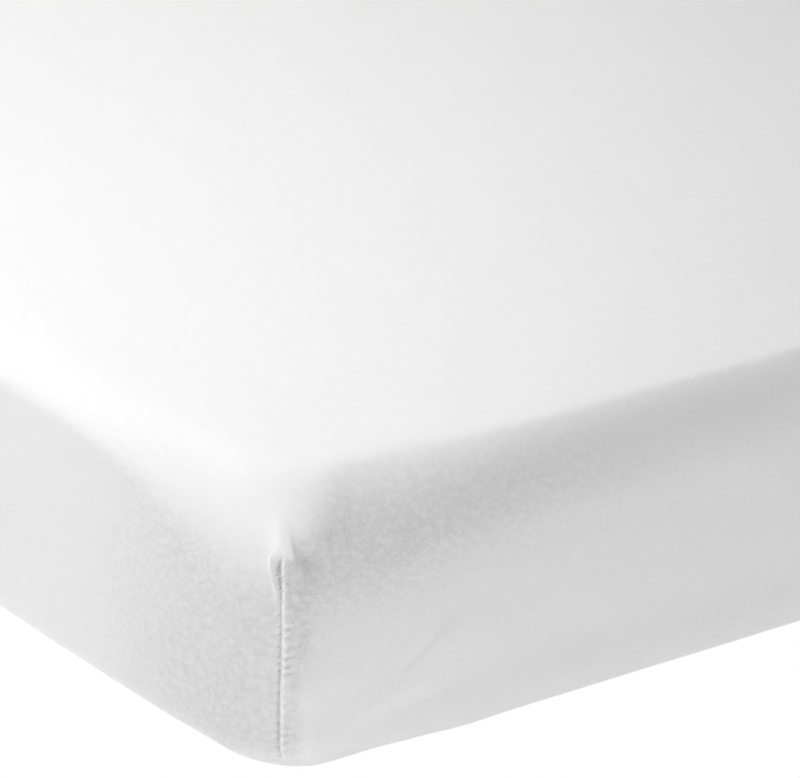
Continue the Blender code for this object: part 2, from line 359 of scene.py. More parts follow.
# The sheet's grid: the steps in each band of the section's outside, the levels of its inside,
# and where the grid is finer.
SHEET_STEPS = {
    Band.TOP: 7, Band.EDGE: 14, Band.WALL: 22, Band.BASE: 10, Band.UNDER: 10, Band.HEM: 4,
}
INSIDE_LEVELS = (
    6.0, 6.12, 6.25, 6.5, 6.8, 7.0, 7.3, 7.6, 8.0, 8.25, 8.5, 8.75, 9.0, 9.3, 9.6, 10.0, 10.5, 11.0,
)
STRIPS = (
    Strip(10.0 * MM, 10.2 * MM, (1.25, 3.75), (1, 1)),
    Strip(5.4 * MM, 6.6 * MM, (1.5, 3.5), (2, 1)),
    Strip(1.0 * MM, 2.3 * MM, (1.6, 3.4), (1, 0)),
)
CREASE_LEVELS = (2.15, 3.4)
CREASE_MARGIN = 8.0 * MM
HEM_PATCH = Patch((0.0, 4.0), (4.72, 6.3), 3)

RIPPLES = (
    # size, rates, and the size and the rates of what bends it
    Ripple(0.10 * MM, (71.0, 0.0, 0.0), 2.0, (0.0, 43.0, 60.0)),
    Ripple(0.08 * MM, (0.0, 97.0, 90.0), 1.6, (58.0, 0.0, 0.0)),
    Ripple(0.05 * MM, (131.0, 119.0, 171.0)),
)


def smooth(share: np.ndarray) -> np.ndarray:
    """Ease from 0 to 1 with level ends."""
    share = np.clip(share, 0.0, 1.0)
    return share * share * (3.0 - 2.0 * share)


def mix(first: np.ndarray, second: np.ndarray, share: np.ndarray) -> np.ndarray:
    """Blend of two values, the second one where share is 1."""
    return first + (second - first) * share


def hill(distance: np.ndarray, width: float) -> np.ndarray:
    """A soft hill, 1 in its middle, for a distance from it."""
    return np.exp(-((distance / width) ** 2))


def step_down(distance: np.ndarray, softness: float, steepest: float = 30.0) -> np.ndarray:
    """A soft step from 1 down to 0 where the distance passes zero."""
    return 1.0 / (1.0 + np.exp(np.clip(distance / softness, -steepest, steepest)))


def soft_distance(distance: np.ndarray, ease: float) -> np.ndarray:
    """A distance that starts level, so that what it drives has no kink at zero."""
    return np.sqrt(distance**2 + ease**2) - ease


def facing(index: np.ndarray) -> np.ndarray:
    """Unit vectors in plan, out of the sides that follow the corners."""
    angle = index * QUARTER
    return np.stack((np.round(np.cos(angle)), np.round(np.sin(angle))), axis=1)


def turn_arc(seam: np.ndarray, back: np.ndarray, on: np.ndarray) -> np.ndarray:
    """Length of a corner's turn, by its reach along both walls, as it is at its seam."""
    return QUARTER * np.hypot(back * np.cos(seam * QUARTER), on * np.sin(seam * QUARTER))


def outer_level(level: np.ndarray) -> np.ndarray:
    """Level of the outer face that points of the inside lie behind, or their own."""
    return np.where(level > Band.INSIDE.value, Band.END.value - level, level)


def band_levels(steps: dict[Band, int]) -> list[np.ndarray]:
    """Levels of some bands of the section, each cut into its number of steps."""
    return [band.value + np.arange(count) / count for band, count in steps.items()]


def grid_faces(rows: int, count: int) -> Faces:
    """Faces between the points of a grid, given by its rows and the points in each."""
    firsts = (row * count + low for row in range(rows - 1) for low in range(count - 1))
    return [(first, first + count, first + count + 1, first + 1) for first in firsts]


def shifted(faces: Faces, count: int) -> Faces:
    """The same faces with their points' numbers moved on, behind other points."""
    return [tuple(count + corner for corner in face) for face in faces]


def gather(rows: tuple, name: str, index: np.ndarray) -> np.ndarray:
    """Read one field of a table's rows for each point.

    Args:
        rows: the table, a tuple of dataclass rows.
        name: the field.
        index: the row that each point belongs to; past the last row it starts again.

    Returns:
        The field's value at each point.
    """
    values = np.array([getattr(row, name) for row in rows])
    return values[index % len(rows)]


@dataclass(frozen=True)
class SheetForm:
    """The form of the fitted sheet: where each point of its flat pattern comes to lie.

    Length, width and height are the mattress's nominal sizes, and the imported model's with its
    small bulge left out. The rest are sizes in metres.
    """

    length: float
    width: float
    height: float
    cloth: float = 1.6 * MM  # jersey with its nap
    crown: float = 3.0 * MM  # the top's middle above its edges
    crown_reach: float = 0.240  # from a wall to where the top is level
    base_round: float = 17.8 * MM  # turn from wall to underside
    bulge: float = 1.2 * MM  # walls stand out at mid-height
    under: float = 0.065  # from wall to hem, underneath
    hem_turn: float = 0.085  # the hem's line at a corner, as a radius
    hem_drift: float = 4.0 * MM  # how far the hem's line wanders
    hem_waves: int = 5  # times it does so on its way round
    ring: float = 0.060  # from the walls to the middle panel of the top
    dip_reach: float = 0.072  # how far from a corner its dip is felt
    widest_turn: float = 24.0 * MM  # of the top and its edge in plan, at a corner
    turn_ease: float = 1.5 * MM  # softness of that limit
    loosens: float = 0.3  # how much less the corners' pull is felt at the base
    ease: float = 9.0 * MM  # rounding of what starts at a corner
    sway_rate: float = 11.0  # of a wall's slow waviness, in radians a metre
    turn_part: float = 0.1  # what a corner's turn takes of its quarter of the pattern

    def places(self, around: np.ndarray) -> Places:
        """Find the corner or side that each point of the pattern stands on.

        Args:
            around: the points' way round, from 0 to 4.

        Returns:
            Their places on the outline.
        """
        index = np.minimum(around.astype(int), len(CORNERS) - 1)
        share = around - index
        turn = np.minimum(share / self.turn_part, 1.0)
        along = np.maximum((share - self.turn_part) / (1.0 - self.turn_part), 0.0)
        return Places(index, turn, along)

    def around_side(self, index: int, shares: np.ndarray) -> np.ndarray:
        """Way round the pattern of points on a side, given by their shares of it."""
        return index + self.turn_part + (1.0 - self.turn_part) * shares

    def half(self, index: np.ndarray) -> np.ndarray:
        """Half the sheet's size across the side that follows a corner."""
        return np.where(index % 2 == 0, self.length, self.width) / 2.0

    def run(self, index: np.ndarray) -> np.ndarray:
        """Straight length of a side at the wall, between the turns at its ends."""
        turns = gather(CORNERS, "turn", index) + gather(CORNERS, "turn", index + 1)
        return 2.0 * self.half(index + 1) - turns

    def ends(self, places: Places) -> tuple[np.ndarray, np.ndarray]:
        """Find how far each point lies from the corners at both ends of its side.

        Args:
            places: where the points stand round the outline.

        Returns:
            The soft distances from the corner before and from the corner after, the second one
            endless on a turn.
        """
        run = self.run(places.index)
        before = soft_distance(places.along * run, self.ease)
        after = soft_distance((1.0 - places.along) * run, self.ease)
        return before, np.where(places.along == 0.0, math.inf, after)

    def edge_sizes(self, places: Places) -> tuple[np.ndarray, np.ndarray]:
        """Find the size of the rounded top edge, which grows softer towards each corner.

        Args:
            places: where the points stand round the outline.

        Returns:
            Its width and its height at each point.
        """
        index = places.index
        before, after = self.ends(places)
        before = hill(before, gather(CORNERS, "swell_after", index))
        after = hill(after, gather(CORNERS, "swell_before", index + 1))
        sizes = []
        for name in ("edge_in", "edge_down"):
            size = gather(SIDES, name, index) * (1.0 - before - after)
            size = size + gather(CORNERS, name, index) * before
            sizes.append(size + gather(CORNERS, name, index + 1) * after)
        return sizes[0], sizes[1]

    def top_height(self, across: np.ndarray, up: np.ndarray) -> np.ndarray:
        """Find the height of the top over a point of the plan.

        Args:
            across: the points' X.
            up: the points' Y.

        Returns:
            The crowned top's height, which dips towards each corner.
        """
        from_end = self.length / 2.0 - np.abs(across)
        from_side = self.width / 2.0 - np.abs(up)
        level = smooth(from_end / self.crown_reach) * smooth(from_side / self.crown_reach)
        height = self.height - self.crown * (1.0 - level)
        signs = ((1, -1), (1, 1), (-1, 1), (-1, -1))
        for corner, (end, side) in zip(CORNERS, signs):
            reach = np.hypot(across - end * self.length / 2.0, up - side * self.width / 2.0)
            height = height - corner.dip * hill(reach, self.dip_reach)
        return height

    def limited(self, turn: np.ndarray, wider: float = 0.0) -> np.ndarray:
        """Keep a corner's turn in plan softly under the widest one, which may be wider."""
        limit = math.exp(-(self.widest_turn + wider) / self.turn_ease)
        return np.maximum(-self.turn_ease * np.log(np.exp(-turn / self.turn_ease) + limit), 0.0)

    def edge_line(self, places: Places, softer: float = 0.0) -> tuple[np.ndarray, ...]:
        """Follow the line where the top turns over into its rounded edge.

        Args:
            places: where the points stand round the outline.
            softer: how much larger the edge is than the sheet's own.

        Returns:
            The edge's width and height, and the line's X and Y.
        """
        width, drop = (size + softer for size in self.edge_sizes(places))
        turn = self.limited(self.ring - width, 2.0 * softer)
        line, _ = self.plan(places, width, (turn, turn, turn))
        return width, drop, line

    def round_share(self, places: Places) -> np.ndarray:
        """Find how far round the outline each point has come from the first corner.

        Args:
            places: where the points stand round the outline.

        Returns:
            That way, as a share of all of it.
        """
        starts = np.concatenate(([0.0], np.cumsum(2.0 * self.half(np.arange(1, 5)))))
        turned = (2.0 * places.turn - 1.0) * gather(CORNERS, "turn", places.index)
        reached = starts[places.index] + turned + places.along * self.run(places.index)
        return reached / starts[-1]

    def hem_line(self, around: np.ndarray) -> np.ndarray:
        """Distance from the wall in to the hem, which wanders a little on its way round."""
        return self.under + self.hem_drift * np.sin(self.hem_waves * QUARTER * around)

    def plan(
        self,
        places: Places,
        inset: np.ndarray,
        reaches: Reaches,
        grip: np.ndarray | float = 1.0,
    ) -> tuple[np.ndarray, np.ndarray]:
        """Place points in plan, drawn in near the corners.

        Args:
            places: where the points stand round the outline.
            inset: their distance in from the wall.
            reaches: how far the corners' turns reach at their level, as in a Section.
            grip: how much of the corners' pull is felt at their level.

        Returns:
            Two arrays of X and Y, for the place and for the outward direction.
        """
        index, (back, on, ahead_on) = places.index, reaches
        fade = grip * (1.0 - np.minimum(2.0 * inset / self.width, 1.0))
        pull_in = gather(CORNERS, "pull_before", index) * fade
        pull_out = gather(CORNERS, "pull_after", index) * fade
        next_in = gather(CORNERS, "pull_before", index + 1) * fade
        next_out = gather(CORNERS, "pull_after", index + 1) * fade
        out, ahead = facing(index), facing(index + 1)
        from_here = self.half(index - 1) - inset - pull_in - on
        centre = out * (self.half(index) - inset - pull_out - back)[:, None]
        centre = centre - ahead * from_here[:, None]
        rise, fall = np.sin(places.turn * QUARTER), np.cos(places.turn * QUARTER)
        on_turn = centre + out * (back * rise)[:, None] - ahead * (on * fall)[:, None]
        rise, fall = rise * (on + TINY), fall * (back + TINY)
        outward = (out * rise[:, None] - ahead * fall[:, None]) / np.hypot(rise, fall)[:, None]
        before, after = self.ends(places)
        pull = pull_out * np.exp(-before / gather(CORNERS, "reach_after", index))
        pull = pull + next_in * np.exp(-after / gather(CORNERS, "reach_before", index + 1))
        to_next = self.half(index + 1) - inset - next_out - ahead_on
        on_side = out * (self.half(index) - inset - pull)[:, None]
        on_side = on_side + ahead * mix(-from_here, to_next, places.along)[:, None]
        standing = (places.along == 0.0)[:, None]
        return np.where(standing, on_turn, on_side), np.where(standing, outward, out)

    def wall_relief(self, places: Places, height: np.ndarray) -> np.ndarray:
        """Find the relief of the walls: their creases and their slow sway.

        Args:
            places: where the points stand round the outline.
            height: their height on the smooth form.

        Returns:
            How far each point stands off its smooth wall.
        """
        run = self.run(places.index)
        distance = gather(CORNERS, "turn", places.index) + places.along * run
        phase = gather(SIDES, "phase", places.index) + self.sway_rate * distance
        sway = gather(SIDES, "sway", places.index) * (0.5 + 0.5 * np.sin(phase))
        lift = sway * np.sin(places.along * math.pi) ** 2
        for crease in CREASES:
            near = (places.index == crease.side) & (places.along > 0.0)
            lift[near] += crease_relief(crease, distance[near], height[near])
        return lift


def crease_relief(crease: Crease, distance: np.ndarray, height: np.ndarray) -> np.ndarray:
    """Find the relief of one crease at points of its wall.

    Args:
        crease: the crease.
        distance: the points' distance along the wall from the corner before it.
        height: their height.

    Returns:
        The crest's lift, and the trough's beside it, fading out at both ends.
    """
    share = np.linspace(0.0, 1.0, CREASE_POINTS)[:, None]
    start, middle, end = (np.array(point) for point in (crease.start, crease.middle, crease.end))
    line = (1 - share) ** 2 * start + 2 * share * (1 - share) * middle + share**2 * end
    ahead = np.gradient(line, axis=0)
    ahead /= np.linalg.norm(ahead, axis=1)[:, None]
    spots = np.column_stack((distance, height))
    reach = np.linalg.norm(spots[:, None] - line[None], axis=2)
    nearest = reach.argmin(axis=1)
    past, way = spots - line[nearest], ahead[nearest]
    aside = way[:, 0] * past[:, 1] - way[:, 1] * past[:, 0]
    beyond = np.abs(np.sum(past * way, axis=1))
    along = share[nearest, 0]
    rise = smooth(CREASE_FADE * along) * smooth(CREASE_FADE * (1.0 - along))
    rise = rise * hill(beyond, crease.width)
    trough = crease.hollow * hill(aside + TROUGH_AT * crease.width, TROUGH_WIDTH * crease.width)
    fall = crease.fall * smooth(aside / (FALL_WIDTH * crease.width))
    return rise * (crease.lift * hill(aside, crease.width) - trough - fall)


@dataclass(frozen=True)
class Facet:
    """The puffed facet of cloth right of a seam's head, between two slanting borders."""

    height: float = 76.2 * MM  # of its crest
    up: float = 3.8 * MM  # how far it reaches above its crest
    down: float = 1.5 * MM  # and below
    left: float = -1.2 * MM  # its borders' offsets, at its crest
    right: float = 3.5 * MM
    left_lean: float = 0.33  # how far they shift to the left for each metre up
    right_lean: float = 0.4
    left_slope: float = 0.80 * MM
    right_slope: float = 0.22 * MM
    lift: float = 1.8 * MM

    def share(self, offset: np.ndarray, height: np.ndarray) -> np.ndarray:
        """Find how much of the facet each point is.

        Args:
            offset: the points' distance across from the seam.
            height: their height.

        Returns:
            That share, from 0 to 1.
        """
        above = height - self.height
        share = step_down(offset - self.right + self.right_lean * above, self.right_slope)
        share = share * step_down(self.left - offset - self.left_lean * above, self.left_slope)
        reach = np.where(above > 0.0, self.up, self.down)
        return share * np.exp(-((above / reach) ** 2))


@dataclass(frozen=True)
class Tacks:
    """The short creases that fan out right of the tacking stitches at a seam's head."""

    height: float = 71.4 * MM  # of their middle
    spread: float = 1.9 * MM  # how far they reach above and below it
    pitch: float = 0.85 * MM
    hub: float = 1.0 * MM  # left of the seam, where they are closest
    fan: float = 9.0 * MM  # from there to where they lie twice as far apart
    start: float = 2.4 * MM  # left of the seam, where they begin
    grows: float = 0.7 * MM
    reach: float = 2.0 * MM
    lift: float = 0.20 * MM

    def relief(self, offset: np.ndarray, height: np.ndarray) -> np.ndarray:
        """Find the relief of the creases.

        Args:
            offset: the points' distance across from the seam.
            height: their height.

        Returns:
            How far the cloth stands out there.
        """
        past = np.maximum(offset + self.hub, 0.0)
        fan = (height - self.height) / (1.0 + past / self.fan)
        crease = np.cos(TURN * fan / self.pitch) * hill(fan, self.spread)
        reach = smooth((offset + self.start) / self.grows) * np.exp(-past / self.reach)
        return self.lift * crease * reach


@dataclass(frozen=True)
class DartSeam:
    """The seam down a corner, where the cloth's dart is closed, and what it pulls up round it.

    Offsets run across the seam, positive towards the side after the corner. The cloth on that
    side laps over the groove as a ridge, and over the two raw edges, which show through it as
    a flat band. At the head the other cloth falls into a drop-shaped pocket beside the ridge.
    """

    form: SheetForm
    facet: Facet = Facet()
    tacks: Tacks = Tacks()
    head: float = 75.8 * MM  # height where it starts
    fade: float = 3.0 * MM  # and how fast it grows below that
    foot: float = 6.5 * MM  # height where it ends, flattening from twice that height
    pitch: float = 3.3 * MM  # of its stitches
    drift: tuple[Wave, Wave] = (Wave(1.2, 210.0, 1.7), Wave(0.8, 517.0, 1.0))  # of that pitch
    strays: tuple[Wave, Wave] = (Wave(0.5 * MM, 95.0, 2.1), Wave(0.2 * MM, 330.0))  # of its line
    groove: float = 0.55 * MM
    groove_beat: float = 0.4  # the share of it that comes and goes with the stitches
    groove_width: float = 0.38 * MM
    notch: float = 0.30 * MM  # how much wider it is to the left at each stitch
    ridge: float = 1.25 * MM
    ridge_share: float = 0.85  # how much of it stands up on the whole
    ridge_beat: float = 0.24  # and how much of it is pressed down at each stitch
    ridge_at: float = 0.85 * MM  # past the edge that laps over
    ridge_slope: float = 0.13  # softness of its near side, as a share of that
    ridge_width: float = 1.20 * MM
    ridge_round: float = 1.3  # the power by which its far side falls
    band: float = 4.2 * MM  # the raw edges under the cloth, at the foot
    band_spread: float = 0.045  # and how much wider they get for each metre up
    band_stray: Wave = Wave(0.4 * MM, 120.0, 1.0)
    band_lift: float = 0.50 * MM
    band_step: float = 0.3  # the share of that lift by which it ends
    band_edge: float = 0.5 * MM
    band_end: float = 0.2 * MM  # softness of its far end
    pucker: float = 0.12 * MM
    pucker_start: float = 1.2 * MM
    pucker_reach: float = 2.6 * MM
    pocket_least: float = 0.1 * MM  # its smallest width
    pocket_shelf: float = 0.35  # the share of its depth on its open side
    pocket_slope: float = 0.40 * MM  # softness of that side
    lap_slope: float = 0.22 * MM  # and of the edge that laps over it
    lap: float = 0.35 * MM  # how far the pocket goes on under that edge
    rim_width: float = 0.75 * MM
    rim_at: float = 0.95 * MM  # left of where the pocket opens
    head_reach: float = 30.0 * MM  # how far from the seam its head's folds are felt
    crest_end: float = 0.2 * MM  # softness of the painted highlight on the ridge's crest, on its far side
    fold_light: float = 0.8  # how strong the painted highlight on the fold over the head is
    fold_stretch: float = 0.6  # how much less that painted highlight fades upwards than across
    facet_light: float = 0.7  # how strong the painted highlight on the facet is

    def offset(self, places: Places, reaches: Reaches) -> tuple[np.ndarray, np.ndarray]:
        """Find the nearest dart seam of each point.

        Args:
            places: where the points stand round the outline.
            reaches: how far the corners' turns reach at their level, as in a Section.

        Returns:
            The corner of the nearest seam, and the distance across from that seam.
        """
        after = places.along > 0.5
        corner = (places.index + after) % len(CORNERS)
        seam = gather(CORNERS, "seam", corner)
        back = np.where(after, reaches[2], reaches[0])
        on = np.where(after, reaches[2], reaches[1])
        arc = turn_arc(seam, back, on)
        run = self.form.run(places.index)
        past = (places.turn - seam) * arc + places.along * run
        short = -seam * arc - (1.0 - places.along) * run
        return corner, np.where(after, short, past)

    def stitch_wave(self, corner: np.ndarray, height: np.ndarray) -> np.ndarray:
        """Pull of the stitches, 1 at each stitch and -1 between, a little irregular."""
        drift = sum(wave.at(height, corner) for wave in self.drift)
        return np.cos(TURN * (self.head - height) / self.pitch + drift)

    def grown(self, height: np.ndarray) -> np.ndarray:
        """How far the seam has grown below its head and above its foot."""
        return smooth((self.head - height) / self.fade) * smooth(height / self.foot - 1.0)

    def edges(self, corner: np.ndarray, height: np.ndarray) -> list[np.ndarray]:
        """Find where the pocket opens and closes at some heights, its depth and its rim.

        Args:
            corner: the corner of each point.
            height: the points' height.

        Returns:
            The four values at each point, the first two as offsets. The line of the first
            corner's seam doesn't stray.
        """
        levels = [row.height for row in POCKET]
        names = ("opens", "closes", "depth", "rim")
        values = [np.interp(height, levels, [getattr(row, n) for row in POCKET]) for n in names]
        strays = np.where(corner == 0, 0.0, sum(wave.at(height, corner) for wave in self.strays))
        return [values[0] + strays, values[1] + strays, values[2], values[3]]

    def band_reach(self, corner: np.ndarray, height: np.ndarray) -> np.ndarray:
        """How far the raw edges reach under the cloth, from the edge that laps over."""
        return self.band + self.band_spread * height + self.band_stray.at(height, corner)

    def past_band(self, places: Places, cut: Section) -> np.ndarray:
        """Find how far each point lies beyond the raw edges of the nearest seam.

        Args:
            places: where the points stand round the outline.
            cut: their section on the smooth form.

        Returns:
            The distance, negative within the raw edges.
        """
        corner, offset = self.offset(places, cut.reaches)
        _, closes, _, _ = self.edges(corner, cut.height)
        return offset - closes - self.band_reach(corner, cut.height)

    def line(self, corner: np.ndarray, offset: np.ndarray, height: np.ndarray) -> np.ndarray:
        """Find the relief of the groove, the ridge, the raw edges and the puckers.

        Args:
            corner: the corner of each point.
            offset: the points' distance across from the seam.
            height: their height.

        Returns:
            How far the cloth stands out there.
        """
        wave = self.stitch_wave(corner, height)
        _, closes, _, _ = self.edges(corner, height)
        aside = offset - closes
        notch = self.notch * np.maximum(wave, 0.0) ** 2
        groove = self.groove * (1.0 - self.groove_beat + self.groove_beat * wave)
        groove = groove * hill(aside + notch, self.groove_width + notch)
        past = aside - self.ridge_at
        ridge = np.exp(-((np.maximum(past, 0.0) / self.ridge_width) ** self.ridge_round))
        ridge = ridge * step_down(0.5 * self.ridge_at - aside, self.ridge_slope * self.ridge_at)
        ridge = self.ridge * (self.ridge_share - self.ridge_beat * wave) * ridge
        reach = self.band_reach(corner, height)
        band = self.band_lift * np.clip(1.0 - past / (reach - self.ridge_at), 0.0, 1.0)
        band = band + self.band_step * self.band_lift * step_down(aside - reach, self.band_end)
        band = band * step_down(-past, self.band_edge)
        near = np.exp(-np.abs(aside) / self.pucker_reach) * smooth(np.abs(aside) / self.pucker_start)
        return (ridge + band - self.pucker * wave * near - groove) * self.grown(height)

    def pocket(self, corner: np.ndarray, offset: np.ndarray, height: np.ndarray) -> np.ndarray:
        """Find the relief of the drop-shaped hollow at the head, with its rim on the left.

        Args:
            corner: the corner of each point.
            offset: the points' distance across from the seam.
            height: their height.

        Returns:
            How far the cloth stands out there.
        """
        opens, closes, depth, rim = self.edges(corner, height)
        wide = np.maximum(closes - opens, self.pocket_least)
        deep = np.clip((offset - opens) / wide, 0.0, 1.0)
        inside = self.pocket_shelf + (1.0 - self.pocket_shelf) * deep
        inside = step_down(opens - offset, self.pocket_slope) * inside
        inside = inside * step_down(offset - closes - self.lap, self.lap_slope)
        stands = rim * hill(offset - opens + self.rim_at, self.rim_width)
        return stands - depth * inside

    def painted_highlight(self, places: Places, cut: Section) -> np.ndarray:
        """Find how much painted highlight each point takes: on the head's fold, the facet, the rim and the
        ridge.

        Args:
            places: where the points stand round the outline.
            cut: their section on the smooth form.

        Returns:
            That share, from 0 to 1, and nothing on the inside.
        """
        corner, offset = self.offset(places, cut.reaches)
        opens, closes, _, rim = self.edges(corner, cut.height)
        # painted highlight: the rim, the ridge's crest, the fold over the head and the facet
        stands = np.minimum(rim / MM, 1.0) * hill(offset - opens + self.rim_at, self.rim_width)
        past = offset - closes
        ridge = step_down(0.4 * self.ridge_at - past, self.ridge_slope * self.ridge_at)
        ridge = ridge * step_down(past - self.ridge_at - 0.5 * self.ridge_width, self.crest_end)
        fold = HEAD_SWELLS[0]
        away = np.hypot(offset - fold.offset, self.fold_stretch * (cut.height - fold.height))
        puffed = self.fold_light * hill(away, fold.wide)
        puffed = puffed + self.facet_light * self.facet.share(offset, cut.height)
        outside = cut.depth < self.form.cloth
        return np.clip(stands + ridge * self.grown(cut.height) + puffed, 0.0, 1.0) * outside

    def lift(self, places: Places, cut: Section) -> np.ndarray:
        """Find the relief of the whole dart seam.

        Args:
            places: where the points stand round the outline.
            cut: their section on the smooth form.

        Returns:
            How far the cloth stands off its smooth form.
        """
        corner, offset = self.offset(places, cut.reaches)
        height = cut.height
        total = self.line(corner, offset, height) + self.pocket(corner, offset, height)
        folds = sum(swell.relief(offset, height) for swell in HEAD_SWELLS)
        folds = folds + self.facet.lift * self.facet.share(offset, height)
        folds = folds + self.tacks.relief(offset, height)
        return total + folds * hill(offset, self.head_reach)


@dataclass(frozen=True)
class Unevenness:
    """What keeps stretched cloth from being even: slow waves, gathers and raised nap.

    The nap is raised most near a corner, on the rounded edge after it and on both its walls, and
    the same share darkens the cloth's white there as painted shade. Its levels are those of the
    section.
    """

    gathers_round: int = 276  # gathers on the hem's way round
    gather_lift: float = 0.8 * MM
    gather_drift: tuple[Wave, Wave] = (Wave(1.9, 17.0), Wave(0.8, 47.0))
    gather_start: float = 4.5  # the level where they begin
    gather_rate: float = 2.2  # and how fast they grow from there
    edge_reach: float = 0.105  # of the raised nap and its painted shade on the edge, after a corner
    edge_level: float = 1.7
    edge_spread: float = 0.48
    wall_before: float = 0.050  # its reach on the wall before a corner
    wall_after: float = 0.002  # and on the wall after it
    wall_start: float = 1.5  # the levels where it begins and ends on a wall
    wall_end: float = 3.7
    start_rate: float = 2.2
    end_rate: float = 2.0
    band_margin: float = 2.0 * MM  # how far beyond a seam's raw edges it starts
    band_slope: float = 1.4 * MM

    def raised_nap_and_shade(
        self, form: SheetForm, places: Places, level: np.ndarray, past_band: np.ndarray
    ) -> np.ndarray:
        """Find how far the nap is raised, which also sets how much painted shade the cloth takes.

        Args:
            form: the sheet's form.
            places: where the points stand round the outline.
            level: their level in the pattern.
            past_band: how far they lie beyond the raw edges of the nearest seam.

        Returns:
            A share from 0 to 1.
        """
        before, after = form.ends(places)
        edge = hill(level - self.edge_level, self.edge_spread) * smooth(2.0 * places.turn - 1.0)
        wall = smooth(self.start_rate * (level - self.wall_start))
        wall = wall * smooth(self.end_rate * (self.wall_end - level))
        wall = wall * step_down(past_band - self.band_margin, self.band_slope)
        total = wall * np.maximum(hill(before, self.wall_after), hill(after, self.wall_before))
        return np.clip(total + edge * hill(before, self.edge_reach), 0.0, 1.0)

    def ripples(self, spots: np.ndarray) -> np.ndarray:
        """Slow irregular relief of the whole cloth at some points of space."""
        return sum(ripple.at(spots) for ripple in RIPPLES)

    def gathers(self, round_share: np.ndarray, level: np.ndarray) -> np.ndarray:
        """Find the lift of the gathers that the elastic draws into the cloth underneath.

        Args:
            round_share: the points' way round the outline, as a share of all of it.
            level: their level on the outer face, at most the hem's.

        Returns:
            How far each point is lifted off the floor.
        """
        turn = TURN * round_share
        phase = self.gathers_round * turn
        for wave in self.gather_drift:
            phase = phase + wave.at(turn)
        grown = smooth(self.gather_rate * (level - self.gather_start))
        return self.gather_lift * (0.5 + 0.5 * np.sin(phase)) * grown


